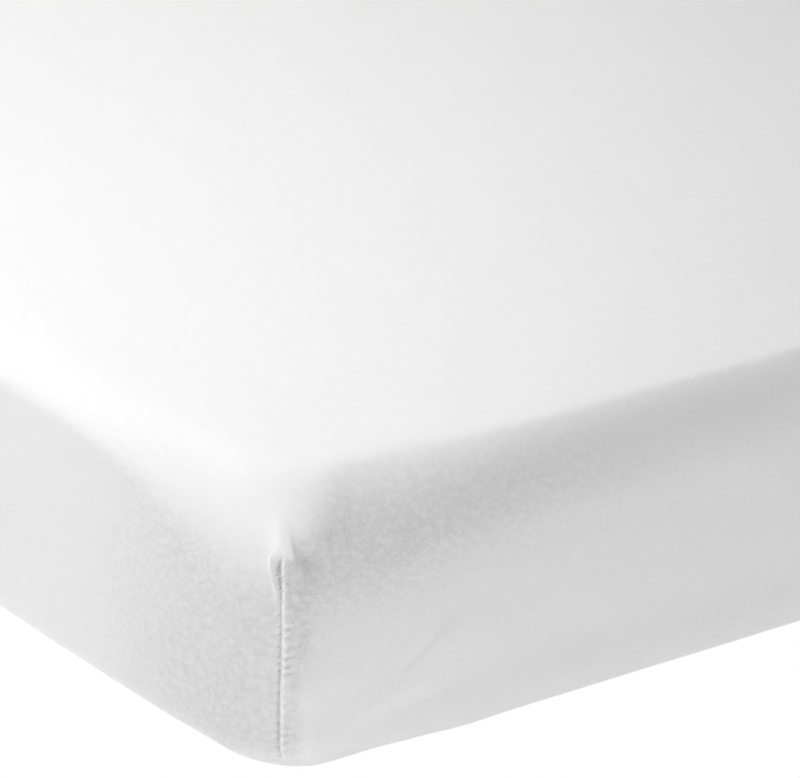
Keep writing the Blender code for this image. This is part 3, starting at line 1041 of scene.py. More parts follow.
@dataclass
class FittedSheet:
    """The fitted sheet: one cloth with a crowned top, four walls and a hem underneath."""

    form: SheetForm
    seam: DartSeam
    unevenness: Unevenness
    turn_columns: int = 6  # from the end of a corner's turn to its seam
    near: float = 4.0 * MM  # columns along a side, at a corner
    apart: float = 12.0 * MM  # and in its middle
    growth: float = 1.12
    casing: float = 12.0 * MM  # the hem, turned over the elastic
    casing_lift: float = 1.0 * MM
    casing_slope: float = 4.8 * MM  # how wide the step up to it is
    flat_slope: float = 3.0  # past this slope the cloth lies flat underneath
    inner_share: float = 0.45  # how much of a dart seam's relief shows inside

    def side_shares(self, index: int) -> np.ndarray:
        """Place the columns along a side, closer near its ends.

        Args:
            index: the side.

        Returns:
            Their places as shares of the side, the same from both its ends.
        """
        run = float(self.form.run(np.array([index]))[0])
        steps, reach = [0.0], self.near
        while reach < self.apart:
            steps.append(steps[-1] + reach)
            reach *= self.growth
        first = np.array(steps) / (2.0 * float(self.form.half(np.array([index + 1]))[0]))
        count = math.ceil((1.0 - 2.0 * first[-1]) * run / self.apart)
        middle = np.linspace(first[-1], 1.0 - first[-1], count + 1)[1:-1]
        return np.concatenate((first, middle, 1.0 - first[::-1]))

    def around_lines(self) -> np.ndarray:
        """Place the pattern's columns, with one on each seam.

        Returns:
            Their way round the outline, from 0 to 4.
        """
        lines = []
        for index, corner in enumerate(CORNERS):
            before = np.linspace(0.0, corner.seam, self.turn_columns + 1)
            after = np.linspace(corner.seam, 1.0, self.turn_columns + 1)[1:-1]
            lines.append(index + self.form.turn_part * np.concatenate((before, after)))
            lines.append(self.form.around_side(index, self.side_shares(index)[:-1]))
        return np.append(np.concatenate(lines), float(len(CORNERS)))

    def seam_patches(self) -> list[Patch]:
        """Find the finer parts of the pattern along the four dart seams.

        Returns:
            The parts, in the order in which they are cut.
        """
        patches = []
        for index, corner in enumerate(CORNERS):
            each = self.form.turn_part / (corner.turn * QUARTER)
            seam = index + self.form.turn_part * corner.seam
            for strip in STRIPS:
                around = (seam - strip.left * each, seam + strip.right * each)
                patches.append(Patch(around, strip.level, strip.cuts[min(index, 1)]))
        return [patch for patch in patches if patch.cuts]

    def crease_patches(self) -> list[Patch]:
        """Find the finer parts of the pattern where walls have narrow creases.

        Returns:
            The parts, in the order in which they are cut.
        """
        patches = []
        for crease in FINE_CREASES:
            run = float(self.form.run(np.array([crease.side]))[0])
            reach = [point[0] - CORNERS[crease.side].turn for point in (crease.start, crease.end)]
            low, high = max(min(reach) - CREASE_MARGIN, 0.0), max(reach) + CREASE_MARGIN
            start, end = (self.form.around_side(crease.side, place / run) for place in (low, high))
            patches.append(Patch((start, min(end, crease.side + 1.0)), CREASE_LEVELS, 1))
        return patches

    def flat_pattern(self) -> tuple[np.ndarray, Faces]:
        """Lay the cloth out flat, with a finer grid where its relief is fine.

        Returns:
            The way round and the level of each point, and the faces between the points.
        """
        around = self.around_lines()
        levels = np.concatenate((*band_levels(SHEET_STEPS), INSIDE_LEVELS))
        mesh = bmesh.new()
        rows = [[mesh.verts.new((u, v, 0.0)) for v in levels] for u in around]
        for strip, following in zip(rows, rows[1:]):
            for low in range(len(levels) - 1):
                corners = (strip[low], strip[low + 1], following[low + 1], following[low])
                mesh.faces.new(corners)
        for patch in self.seam_patches() + self.crease_patches():
            cut_finer(mesh, patch, both_ways=True)
        cut_finer(mesh, HEM_PATCH, both_ways=False)
        bmesh.ops.triangulate(mesh, faces=mesh.faces)
        mesh.verts.index_update()
        points = np.array([vert.co[:2] for vert in mesh.verts])
        faces = [tuple(vert.index for vert in face.verts) for face in mesh.faces]
        mesh.free()
        return points, faces

    def section(self, places: Places, around: np.ndarray, level: np.ndarray, layer: Layer) -> Section:
        """Follow the cloth's section from the top down to the hem and back up inside.

        Args:
            places: where the points stand round the outline.
            around: their way round the pattern.
            level: their level in the pattern.
            layer: the face that they lie on.

        Returns:
            The points of the section.
        """
        form, folded = self.form, outer_level(level)
        width, drop, line = form.edge_line(places, layer.softer)
        shoulder = form.top_height(*line.T)
        radius, wider = form.base_round + layer.softer, 2.0 * layer.softer
        top, edge, wall, base, under, rim = [
            np.clip(folded - band.value, 0.0, 1.0) for band in list(Band)[:6]
        ]
        hem = form.hem_line(around) if layer.relief else np.full(around.shape, form.ring)
        hem_turn = form.hem_turn if layer.relief else 0.0
        thick = form.cloth + self.casing_lift
        bands = [folded <= band.value for band in list(Band)[1:6]]
        inset = np.select(
            bands,
            [
                mix(form.ring, width, top),
                width * (1.0 - np.sin(edge * QUARTER)),
                form.bulge * smooth(2.0 * wall - 1.0),
                radius * (1.0 - np.cos(base * QUARTER)) + form.bulge * (1.0 - smooth(base)),
                mix(radius, hem, under),
            ],
            hem + thick / 2.0 * np.sin(math.pi * rim),
        )
        level_turn = form.limited(form.ring - inset, wider)
        plan, _ = form.plan(places, inset, (level_turn, level_turn, level_turn))
        height = np.select(
            bands,
            [
                form.top_height(*plan.T),
                shoulder - drop * (1.0 - np.cos(edge * QUARTER)),
                mix(shoulder - drop, radius, wall),
                radius * (1.0 - np.sin(base * QUARTER)),
                np.zeros(around.shape),
            ],
            thick / 2.0 * (1.0 - np.cos(math.pi * rim)),
        )
        reaches = []
        for step, name in ((0, "foot_before"), (0, "foot_after"), (1, "foot_before")):
            turn = gather(CORNERS, "turn", places.index + step)
            foot = gather(CORNERS, name, places.index + step)
            wall_turn = mix(turn, foot, smooth(wall)) + wider
            edge_turn = form.limited(mix(form.ring - width, wall_turn, smooth(edge)), wider)
            under_turn = mix(wall_turn, hem_turn, under)
            options = [level_turn, edge_turn, wall_turn, wall_turn, under_turn]
            reaches.append(np.select(bands, options, hem_turn))
        slope = QUARTER * (edge + base)
        cased = smooth((inset - hem + self.casing) / self.casing_slope) * self.casing_lift
        inner = form.cloth + np.where(slope > self.flat_slope, cased, 0.0)
        depth = np.where(level > Band.INSIDE.value, inner, 0.0) + layer.depth
        grip = 1.0 - form.loosens * smooth(wall)
        return Section(inset, height, tuple(reaches), grip, slope, depth)

    def fold(self, around: np.ndarray, level: np.ndarray, layer: Layer) -> np.ndarray:
        """Fold points of the pattern into their place round the mattress.

        Args:
            around: the points' way round the pattern.
            level: their level in the pattern.
            layer: the face that they lie on.

        Returns:
            The points' X, Y and Z.
        """
        form, uneven = self.form, self.unevenness
        places = form.places(around)
        cut = self.section(places, around, level, layer)
        plan, outward = form.plan(places, cut.inset, cut.reaches, cut.grip)
        sideways, upward = np.sin(cut.slope), np.cos(cut.slope)
        spots = np.column_stack((plan, cut.height))
        lift = uneven.ripples(spots) * (1.0 - smooth(level - Band.BASE.value))
        darted = self.seam.lift(places, cut)
        darted = np.where(level > Band.INSIDE.value, self.inner_share * darted, darted)
        fine = form.wall_relief(places, cut.height) + darted
        lift = (lift + fine * sideways) * layer.relief - cut.depth
        normal = np.column_stack((outward * sideways[:, None], upward))
        spots = spots + normal * lift[:, None]
        reached = form.round_share(places)
        gathers = uneven.gathers(reached, np.minimum(outer_level(level), Band.HEM.value))
        spots[:, 2] += gathers * layer.relief
        return spots

    def lay(self, around: np.ndarray, level: np.ndarray, panel: np.ndarray) -> np.ndarray:
        """Lay points of the pattern on the flat cloth, which the knit follows.

        Args:
            around: the points' way round the pattern.
            level: their level in the pattern.
            panel: the side whose panel the point belongs to.

        Returns:
            The points' places in metres, along and across the knit.
        """
        form, folded = self.form, outer_level(level)
        places = form.places(around)
        cut = self.section(places, around, level, Layer())
        plan, _ = form.plan(places, cut.inset, cut.reaches, cut.grip)
        width, drop, line = form.edge_line(places)
        edge, wall, base = [
            np.clip(folded - band.value, 0.0, 1.0) for band in (Band.EDGE, Band.WALL, Band.BASE)
        ]
        down = (width + drop) / 2.0 * QUARTER * edge
        down = down + (form.height - drop - form.base_round) * wall
        down = down + form.base_round * QUARTER * base
        down = down + np.where(folded > Band.UNDER.value, cut.inset - form.base_round, 0.0)
        out, ahead = facing(panel), facing(panel + 1)
        along = np.sum(plan * ahead, axis=1)
        outward = np.sum(line * out, axis=1) + down
        walls = ahead * along[:, None] + out * outward[:, None]
        return np.where((folded <= Band.EDGE.value)[:, None], plan, walls)

    def middle_panel(self, level: float, layer: Layer) -> tuple[np.ndarray, Faces]:
        """Fill the level middle of the top or of the base, between the columns that end round it.

        Args:
            level: the level of the ring that it fills, the first or the last one.
            layer: the face that it lies on.

        Returns:
            Its points and its faces.
        """
        ends, sides = self.side_shares(0), self.side_shares(3)

        def border(index: int, shares: np.ndarray) -> np.ndarray:
            """One border of the panel."""
            around = self.form.around_side(index, shares)
            return self.fold(around, np.full(around.shape, level), layer)

        low, high = border(3, sides), border(1, 1.0 - sides)
        left, right = border(2, 1.0 - ends), border(0, ends)
        s, t = sides[:, None, None], ends[None, :, None]
        grid = (1 - t) * low[:, None] + t * high[:, None] + (1 - s) * left[None] + s * right[None]
        grid = grid - (1 - s) * (1 - t) * low[0] - s * (1 - t) * low[-1]
        grid = grid - (1 - s) * t * high[0] - s * t * high[-1]
        if level in (Band.TOP.value, Band.END.value):
            inner = grid[1:-1, 1:-1]
            flat = inner[..., :2].reshape(-1, 2)
            tops = self.form.top_height(*flat.T)
            lift = self.unevenness.ripples(np.column_stack((flat, tops))) * layer.relief
            if level == Band.END.value:
                lift = -self.form.cloth
            inner[..., 2] = (tops + lift - layer.depth).reshape(inner.shape[:2])
        faces = grid_faces(*grid.shape[:2])
        if level > Band.WALL.value:
            faces = [face[::-1] for face in faces]
        return grid.reshape(-1, 3), faces

    def build(self) -> bpy.types.Object:
        """Fold the flat pattern round the mattress and close it over the top.

        Returns:
            The sheet, with a UV map that follows the cloth.
        """
        points, faces = self.flat_pattern()
        corners, layer = np.array(faces), Layer()
        panels = self.panels(points[corners].mean(axis=1)[:, 0])
        loops = np.stack([self.lay(*points[corners[:, i]].T, panels) for i in range(3)], axis=1)
        loops = loops.reshape(-1, 2)
        spots = self.fold(*points.T, layer)
        marks = self.marks(*points.T)
        for ring in (Band.TOP.value, Band.END.value):
            middle, grid = self.middle_panel(ring, layer)
            faces += shifted(grid, len(spots))
            loops = np.concatenate((loops, middle[np.array(grid).ravel(), :2]))
            spots = np.concatenate((spots, middle))
        rest = np.zeros(len(spots) - len(points))
        marks = {name: np.append(values, rest) for name, values in marks.items()}
        return make_piece("cot_sheet", spots, faces, loops, marks)

    def marks(self, around: np.ndarray, level: np.ndarray) -> dict[str, np.ndarray]:
        """Find what the jersey needs to know of each point: raised nap with its painted shade, and the
        painted highlight on folded edges.

        Args:
            around: the points' way round the pattern.
            level: their level in the pattern.

        Returns:
            The two marks' values, by name.
        """
        places = self.form.places(around)
        cut = self.section(places, around, level, Layer())
        past_band = self.seam.past_band(places, cut)
        raised_nap_and_shade = self.unevenness.raised_nap_and_shade(self.form, places, level, past_band)
        return {"raised_nap_and_shade": raised_nap_and_shade, "painted_highlight": self.seam.painted_highlight(places, cut)}

    def panels(self, around: np.ndarray) -> np.ndarray:
        """Find the side whose panel each point belongs to, which changes at a seam.

        Args:
            around: the points' way round the pattern.

        Returns:
            Their own side, or the one before it ahead of a seam.
        """
        places = self.form.places(around)
        ahead = places.turn < gather(CORNERS, "seam", places.index)
        return places.index - ahead

    def drops(self) -> list[float]:
        """Measure the cloth on each side from the head of the rounded edge down to the hem.

        Returns:
            Its length on each of the four sides.
        """
        form = self.form
        drops = []
        for side in SIDES:
            edge = (side.edge_in + side.edge_down) / 2.0 * QUARTER
            wall = form.height - form.crown - side.edge_down - form.base_round
            base = form.base_round * QUARTER
            drops.append(edge + wall + base + form.under - form.base_round)
        return drops

    def dress(self, piece: bpy.types.Object, finish: "CottonJersey") -> None:
        """Give the sheet its jersey and put it on the frame.

        Args:
            piece: the sheet.
            finish: its jersey.
        """
        piece.data.materials.append(finish.material())
        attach(piece, "root")
        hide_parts("fitted_sheet")


def cut_finer(mesh: bmesh.types.BMesh, patch: Patch, both_ways: bool) -> None:
    """Cut the flat pattern's edges within a patch.

    Args:
        mesh: the flat pattern.
        patch: the part to cut, and how many times each edge is cut.
        both_ways: cut the edges that run down the section too.
    """
    low = (patch.around[0] - TINY, patch.level[0] - TINY)
    high = (patch.around[1] + TINY, patch.level[1] + TINY)

    def inside(vert: bmesh.types.BMVert) -> bool:
        """Whether a point lies in the patch."""
        return low[0] <= vert.co.x <= high[0] and low[1] <= vert.co.y <= high[1]

    edges = []
    for edge in mesh.edges:
        first, second = edge.verts
        level = abs(first.co.y - second.co.y) < TINY
        if (both_ways or level) and inside(first) and inside(second):
            edges.append(edge)
    bmesh.ops.subdivide_edges(mesh, edges=edges, cuts=patch.cuts, use_grid_fill=True)


def make_piece(
    name: str,
    spots: np.ndarray,
    faces: Faces,
    loops: np.ndarray | None = None,
    marks: dict[str, np.ndarray] | None = None,
) -> bpy.types.Object:
    """Make a closed piece from points and faces, with points that coincide made one.

    Args:
        name: the piece's name.
        spots: its points.
        faces: its faces, as tuples of point numbers.
        loops: the UV of each face's corners in turn, in metres, or none.
        marks: values for the points that its material reads, by name, or none.

    Returns:
        The piece, shaded smooth and linked into the scene.
    """
    data = bpy.data.meshes.new(name)
    data.from_pydata(spots.tolist(), [], faces)
    if loops is not None:
        data.uv_layers.new(name="Lie").uv.foreach_set("vector", loops.astype(np.float32).ravel())
    for mark, values in (marks or {}).items():
        data.attributes.new(mark, "FLOAT", "POINT").data.foreach_set("value", values)
    mesh = bmesh.new()
    mesh.from_mesh(data)
    bmesh.ops.remove_doubles(mesh, verts=mesh.verts, dist=MERGED)
    bmesh.ops.dissolve_degenerate(mesh, edges=mesh.edges, dist=SHORTEST)
    mesh.to_mesh(data)
    mesh.free()
    data.shade_smooth()
    piece = bpy.data.objects.new(name, data)
    bpy.context.scene.collection.objects.link(piece)
    return piece


@dataclass
class Mattress:
    """The cot mattress inside the sheet: foam in plain ticking, pressed in a little by the hem."""

    sheet: FittedSheet
    gap: float = 0.35 * MM  # to the sheet where one lies on the other
    clearance: float = 2.2 * MM  # the same at edges and corners
    ring: float = 0.090  # from the walls to the middle panels of its top and base
    press: float = 2.2 * MM  # how far the hem is pressed into it
    press_reach: float = 16.0 * MM  # how far out from the hem that starts
    press_past: float = 3.0 * MM  # and how far in it ends
    press_slope: float = 6.0 * MM
    under_steps: int = 14

    def build(self) -> bpy.types.Object:
        """Loft the mattress just inside the sheet.

        Returns:
            The mattress, a closed piece.
        """
        form = replace(self.sheet.form, ring=self.ring)
        loft = replace(self.sheet, form=form)
        softer = self.clearance / (math.sqrt(2.0) - 1.0)
        layer = Layer(form.cloth + self.gap, softer, 0.0)
        steps = {Band.TOP: 4, Band.EDGE: 8, Band.WALL: 8, Band.BASE: 6, Band.UNDER: self.under_steps}
        levels = np.append(np.concatenate(band_levels(steps)), Band.HEM.value)
        u, v = np.meshgrid(loft.around_lines(), levels, indexing="ij")
        spots = loft.fold(u.ravel(), v.ravel(), layer)
        spots[:, 2] += self.pressed(form, u.ravel(), v.ravel(), softer)
        faces = [face[:1] + face[:0:-1] for face in grid_faces(*u.shape)]
        for ring in (Band.TOP.value, Band.HEM.value):
            middle, grid = loft.middle_panel(ring, layer)
            faces += shifted(grid, len(spots))
            spots = np.concatenate((spots, middle))
        return make_piece("cot_mattress", spots, faces)

    def pressed(
        self, form: SheetForm, around: np.ndarray, level: np.ndarray, softer: float
    ) -> np.ndarray:
        """Find how far the hem presses the base in.

        Args:
            form: the mattress's form.
            around: the points' way round the pattern.
            level: their level in the pattern.
            softer: how much softer the mattress's edges are than the sheet's.

        Returns:
            How far each point is raised.
        """
        radius = form.base_round + softer
        inset = mix(radius, self.ring, np.clip(level - Band.UNDER.value, 0.0, 1.0))
        past = inset - form.hem_line(around)
        rise = smooth((past + self.press_reach + self.press_slope) / self.press_slope)
        return self.press * rise * (1.0 - smooth((past - self.press_past) / self.press_slope))

    def dress(self, piece: bpy.types.Object, finish: "CottonTicking") -> None:
        """Give the mattress its ticking and put it on the frame.

        Args:
            piece: the mattress.
            finish: its ticking.
        """
        piece.data.materials.append(finish.material())
        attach(piece, "root")
        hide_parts("mattress")


@dataclass(frozen=True)
class Stitch:
    """A stitch over a dart seam: its corner, its middle's height and offset, reach and slant."""

    corner: int
    height: float
    offset: float
    reach: float
    slant: float


@dataclass
class SeamThread:
    """Sewing thread of the four dart seams, and of the tack that secures each one's head."""

    sheet: FittedSheet
    thick: float = 0.30 * MM
    reach: float = 0.85 * MM  # to both sides of the groove
    aside: float = 0.1 * MM  # from the groove to a stitch's middle
    slant: float = 0.25
    arch: float = 0.12 * MM  # how far a stitch stands off the cloth in its middle
    sunk: float = 0.12 * MM  # how deep its ends are drawn in
    tack_heights: tuple[float, float] = (73.8 * MM, 70.6 * MM)
    tack_count: int = 5
    tack_reach: float = 2.1 * MM
    tack_aside: float = 0.9 * MM
    tack_slant: Wave = Wave(0.12, 2.3, 1.0)  # from one to the next
    search_heights: int = 1200  # at which stitches are looked for
    search_levels: tuple[float, float, int] = (1.2, 3.7, 500)  # and at which the cloth is
    rings: int = 13
    sides: int = 6

    def stitches(self) -> list[Stitch]:
        """Find each stitch's place: one where each wave of the seam's puckers peaks.

        Returns:
            The stitches of all seams, each seam's tacks after its own.
        """
        seam = self.sheet.seam
        heights = np.linspace(seam.foot, seam.head - 2.0 * seam.fade, self.search_heights)
        found = []
        for corner in range(len(CORNERS)):
            wave = seam.stitch_wave(np.full(heights.shape, corner), heights)
            peaks = np.flatnonzero((wave[1:-1] > wave[:-2]) & (wave[1:-1] >= wave[2:])) + 1
            for height in heights[peaks]:
                closes = seam.edges(np.array([corner]), np.array([height]))[1][0]
                found.append(Stitch(corner, height, closes + self.aside, self.reach, self.slant))
            for number, height in enumerate(np.linspace(*self.tack_heights, self.tack_count)):
                slant = self.tack_slant.at(number, corner)
                found.append(Stitch(corner, height, self.tack_aside, self.tack_reach, slant))
        return found

    def cloth_under(self, corner: int, offsets: np.ndarray, heights: np.ndarray) -> np.ndarray:
        """Find points of the cloth by a seam, on the sheet's own pattern.

        Args:
            corner: the seam's corner.
            offsets: the points' distance across from the seam.
            heights: their height.

        Returns:
            Their X, Y and Z.
        """
        sheet, seam = self.sheet, CORNERS[corner].seam
        levels = np.linspace(*self.search_levels)
        around = np.full(levels.shape, corner + sheet.form.turn_part * seam)
        cut = sheet.section(sheet.form.places(around), around, levels, Layer())
        arcs = turn_arc(seam, *cut.reaches[:2])
        level = np.interp(-heights, -cut.height, levels)
        turn = seam + offsets / np.interp(level, levels, arcs)
        return sheet.fold(corner + sheet.form.turn_part * turn, level, Layer())

    def tube(self, line: np.ndarray, out: np.ndarray) -> tuple[np.ndarray, Faces]:
        """Make a closed tube along a line.

        Args:
            line: the points that it follows.
            out: a direction off the cloth.

        Returns:
            Its points and its faces.
        """
        ahead = np.gradient(line, axis=0)
        ahead /= np.linalg.norm(ahead, axis=1)[:, None]
        across = np.cross(ahead, out)
        across /= np.linalg.norm(across, axis=1)[:, None]
        up = np.cross(across, ahead)
        angle = np.linspace(0.0, TURN, self.sides, endpoint=False)[None, :, None]
        ring = np.cos(angle) * across[:, None] + np.sin(angle) * up[:, None]
        spots = (line[:, None] + self.thick / 2.0 * ring).reshape(-1, 3)
        count, faces = self.sides, []
        for row in range(len(line) - 1):
            for k in range(count):
                first, second = row * count + k, row * count + (k + 1) % count
                faces.append((first, second, second + count, first + count))
        faces.append(tuple(range(count))[::-1])
        faces.append(tuple(range(len(spots) - count, len(spots))))
        return spots, faces

    def build(self) -> bpy.types.Object:
        """Lay every stitch over its seam, straight from end to end unless the cloth is higher.

        Returns:
            The thread, all its stitches in one piece.
        """
        spots, faces, count = [], [], 0
        share = np.linspace(0.0, 1.0, self.rings)
        for stitch in self.stitches():
            way = (2.0 * share - 1.0) * stitch.reach
            heights = stitch.height + stitch.slant * way
            cloth = self.cloth_under(stitch.corner, stitch.offset + way, heights)
            angle = (stitch.corner + CORNERS[stitch.corner].seam - 1.0) * QUARTER
            out = np.array([math.cos(angle), math.sin(angle), 0.0])
            chord = cloth[0] + (cloth[-1] - cloth[0]) * share[:, None]
            over = np.maximum((cloth - chord) @ out, 0.0)
            arch = self.arch * stitch.reach / self.reach
            stand = over + (arch + self.sunk) * np.sin(math.pi * share) - self.sunk
            tube, sides = self.tube(chord + out * stand[:, None], out)
            faces += shifted(sides, count)
            spots.append(tube)
            count += len(tube)
        return make_piece("seam_thread", np.concatenate(spots), faces)

    def dress(self, piece: bpy.types.Object, finish: "SewingThread") -> None:
        """Give the thread its finish and put it on the frame.

        Args:
            piece: the thread.
            finish: what it is made of.
        """
        piece.data.materials.append(finish.material())
        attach(piece, "root")


def linear(code: str) -> tuple[float, float, float, float]:
    """Turn an sRGB hex colour into the linear values that shaders take."""
    shares = [int(code[start : start + 2], 16) / 255.0 for start in (1, 3, 5)]
    return (*(s / 12.92 if s <= 0.04045 else ((s + 0.055) / 1.055) ** 2.4 for s in shares), 1.0)


def feed(tree: bpy.types.NodeTree, node: bpy.types.Node, inputs: dict) -> None:
    """Set a node's inputs.

    Args:
        tree: the node tree that it is in.
        node: the node.
        inputs: for each input, by name or number, a value or the socket that feeds it.
    """
    for name, value in inputs.items():
        if isinstance(value, bpy.types.NodeSocket):
            tree.links.new(value, node.inputs[name])
        else:
            node.inputs[name].default_value = value


def add_node(
    tree: bpy.types.NodeTree, kind: str, settings: dict | None = None, inputs: dict | None = None
) -> bpy.types.Node:
    """Add a shader node with its settings and its inputs.

    Args:
        tree: the node tree that it joins.
        kind: the node's type, without the ShaderNode that all of them start with.
        settings: attributes to set on it.
        inputs: its inputs, as feed takes them.

    Returns:
        The node.
    """
    node = tree.nodes.new("ShaderNode" + kind)
    for name, value in (settings or {}).items():
        setattr(node, name, value)
    feed(tree, node, inputs or {})
    return node


def new_material(name: str) -> tuple[bpy.types.Material, bpy.types.NodeTree, bpy.types.Node]:
    """Start a material.

    Args:
        name: its name, the real material and how that was made.

    Returns:
        The material, its node tree and its Principled shader.
    """
    material = bpy.data.materials.new(name)
    material.use_nodes = True
    tree = material.node_tree
    return material, tree, tree.nodes["Principled BSDF"]


@dataclass(frozen=True)
class Nap:
    """What the jersey's nodes read: the place, its two noises and the sheet's two marks, raised nap with
    its painted shade and the painted highlight.
    """

    spot: bpy.types.NodeSocket
    fine: bpy.types.NodeSocket
    tufts: bpy.types.NodeSocket
    raised_nap_and_shade: bpy.types.NodeSocket
    painted_highlight: bpy.types.NodeSocket


@dataclass(frozen=True)
class CottonJersey:
    """Single jersey of bleached combed cotton, knitted fine and slightly brushed.

    Its nap gives a soft matt white with a weak sheen at grazing angles, and mottles the light
    where it rakes the cloth. Wales and courses are drawn a little coarser than real, so that
    they show at all. Its white is darkened as painted shade near the corners, and whitened as a
    painted highlight on the seams' folds.
    """

    light: str = "#F8F8F8"
    dim: str = "#F5F5F5"
    painted_shade: str = "#E1E1E1"  # painted shade near the corners, where the nap is raised, broken up by its tufts
    folded: str = "#FFFFFF"  # painted highlight on the folds and edges at the seams
    wale: float = 0.95 * MM  # spacing of the knit's columns
    course: float = 0.75 * MM  # and of its rows
    crossing: float = 0.4  # how much the rows show beside the columns
    nap: float = 1.3 * MM  # size of the mottling
    fluff: float = 4.5 * MM  # size of the patches where the nap is thicker
    tuft: float = 2.6 * MM  # size of the tufts of raised nap
    squeeze: float = 1.4  # how much flatter than long they are
    knit_depth: float = 0.03 * MM
    nap_depth: float = 0.15 * MM
    tuft_depth: float = 0.55 * MM
    roughness: float = 0.92
    ior: float = 1.45  # of cellulose, a little low for the air between the fibres
    specular: float = 0.2
    sheen: float = 0.4
    sheen_roughness: float = 0.5

    def material(self) -> bpy.types.Material:
        """Build the jersey, which reads the sheet's Lie, its raised nap with painted shade and its painted
        highlight.

        Returns:
            The material.
        """
        material, tree, shader = new_material("bleached_cotton_jersey_knitted")
        nap = self.read_nap(tree)
        # the painted highlight also raises the sheen
        sheen = add_node(tree, "MapRange", {}, {"Value": nap.painted_highlight, "To Min": self.sheen, "To Max": 1.0})
        feed(tree, shader, {
            "Base Color": self.colour(tree, nap),
            "Roughness": self.roughness,
            "IOR": self.ior,
            "Specular IOR Level": self.specular,
            "Sheen Weight": sheen.outputs["Result"],
            "Sheen Roughness": self.sheen_roughness,
            "Normal": self.relief(tree, nap),
        })
        return material

    def read_nap(self, tree: bpy.types.NodeTree) -> Nap:
        """Add the nodes that the colour and the relief both read.

        Args:
            tree: the material's node tree.

        Returns:
            Their outputs.
        """
        spot = add_node(tree, "TexCoord").outputs["Object"]
        fine = add_node(tree, "TexNoise", {}, {
            "Vector": spot, "Scale": 1.0 / self.nap, "Detail": 3.0, "Roughness": 0.6,
        })
        squeezed = add_node(tree, "Mapping", {}, {"Vector": spot, "Scale": (1.0, 1.0, self.squeeze)})
        tufts = add_node(tree, "TexNoise", {}, {
            "Vector": squeezed.outputs["Vector"], "Scale": 1.0 / self.tuft, "Detail": 2.5, "Roughness": 0.6,
        })
        raised_nap_and_shade, painted_highlight = (
            add_node(tree, "Attribute", {"attribute_name": name}) for name in ("raised_nap_and_shade", "painted_highlight")
        )
        return Nap(spot, *(node.outputs["Fac"] for node in (fine, tufts, raised_nap_and_shade, painted_highlight)))

    def colour(self, tree: bpy.types.NodeTree, nap: Nap) -> bpy.types.NodeSocket:
        """Mix the cloth's white: varied at random by its nap, with painted shade where the nap is raised
        and a painted highlight on the seams' folds.

        Args:
            tree: the material's node tree.
            nap: what it reads.

        Returns:
            The colour.
        """
        shade = add_node(tree, "MapRange", {}, {"Value": nap.fine, "From Min": 0.3, "From Max": 0.7})
        shaded = add_node(tree, "MapRange", {}, {
            "Value": nap.tufts, "From Min": 0.70, "From Max": 0.30, "To Min": 0.35, "To Max": 0.95,
        })
        painted_shade_share = add_node(tree, "Math", {"operation": "MULTIPLY"}, {
            0: shaded.outputs["Result"], 1: nap.raised_nap_and_shade,
        })
        # the nap's random tone, then painted shade near the corners, then a painted highlight on the seams'
        # folds
        steps = (
            (shade.outputs["Result"], self.light),
            (painted_shade_share.outputs[0], self.painted_shade),
            (nap.painted_highlight, self.folded),
        )
        colour = linear(self.dim)
        for share, code in steps:
            inputs = {0: share, 6: colour, 7: linear(code)}
            colour = add_node(tree, "Mix", {"data_type": "RGBA"}, inputs).outputs[2]
        return colour

    def relief(self, tree: bpy.types.NodeTree, nap: Nap) -> bpy.types.NodeSocket:
        """Lay the cloth's bumps over each other: its knit, its nap and the tufts of raised nap.

        Args:
            tree: the material's node tree.
            nap: what it reads.

        Returns:
            The bumped normal.
        """
        fluff = add_node(tree, "TexNoise", {}, {
            "Vector": nap.spot, "Scale": 1.0 / self.fluff, "Detail": 2.0,
        })
        patches = add_node(tree, "MapRange", {}, {
            "Value": fluff.outputs["Fac"], "From Min": 0.35, "From Max": 0.65, "To Min": 0.45,
        })
        napped = add_node(tree, "Math", {"operation": "MULTIPLY"}, {
            0: nap.fine, 1: patches.outputs["Result"],
        })
        bumps = (
            (self.stitches(tree), 0.25, self.knit_depth),
            (napped.outputs[0], 1.0, self.nap_depth),
            (nap.tufts, nap.raised_nap_and_shade, self.tuft_depth),
        )
        under = {}
        for height, strength, depth in bumps:
            inputs = {"Height": height, "Strength": strength, "Distance": depth, **under}
            under = {"Normal": add_node(tree, "Bump", {}, inputs).outputs["Normal"]}
        return under["Normal"]

    def stitches(self, tree: bpy.types.NodeTree) -> bpy.types.NodeSocket:
        """Draw the knit: wales along the mattress, each crossed by its courses.

        Args:
            tree: the material's node tree.

        Returns:
            The knit's height.
        """
        lie = add_node(tree, "UVMap", {"uv_map": "Lie"})
        split = add_node(tree, "SeparateXYZ", {}, {"Vector": lie.outputs["UV"]})
        waves = []
        for axis, spacing in (("Y", self.wale), ("X", self.course)):
            angle = add_node(tree, "Math", {"operation": "MULTIPLY"}, {
                0: split.outputs[axis], 1: 2.0 * math.pi / spacing,
            })
            wave = add_node(tree, "Math", {"operation": "COSINE"}, {0: angle.outputs[0]})
            waves.append(wave.outputs[0])
        both = add_node(tree, "Math", {"operation": "MULTIPLY_ADD"}, {
            0: waves[1], 1: self.crossing, 2: waves[0],
        })
        return both.outputs[0]


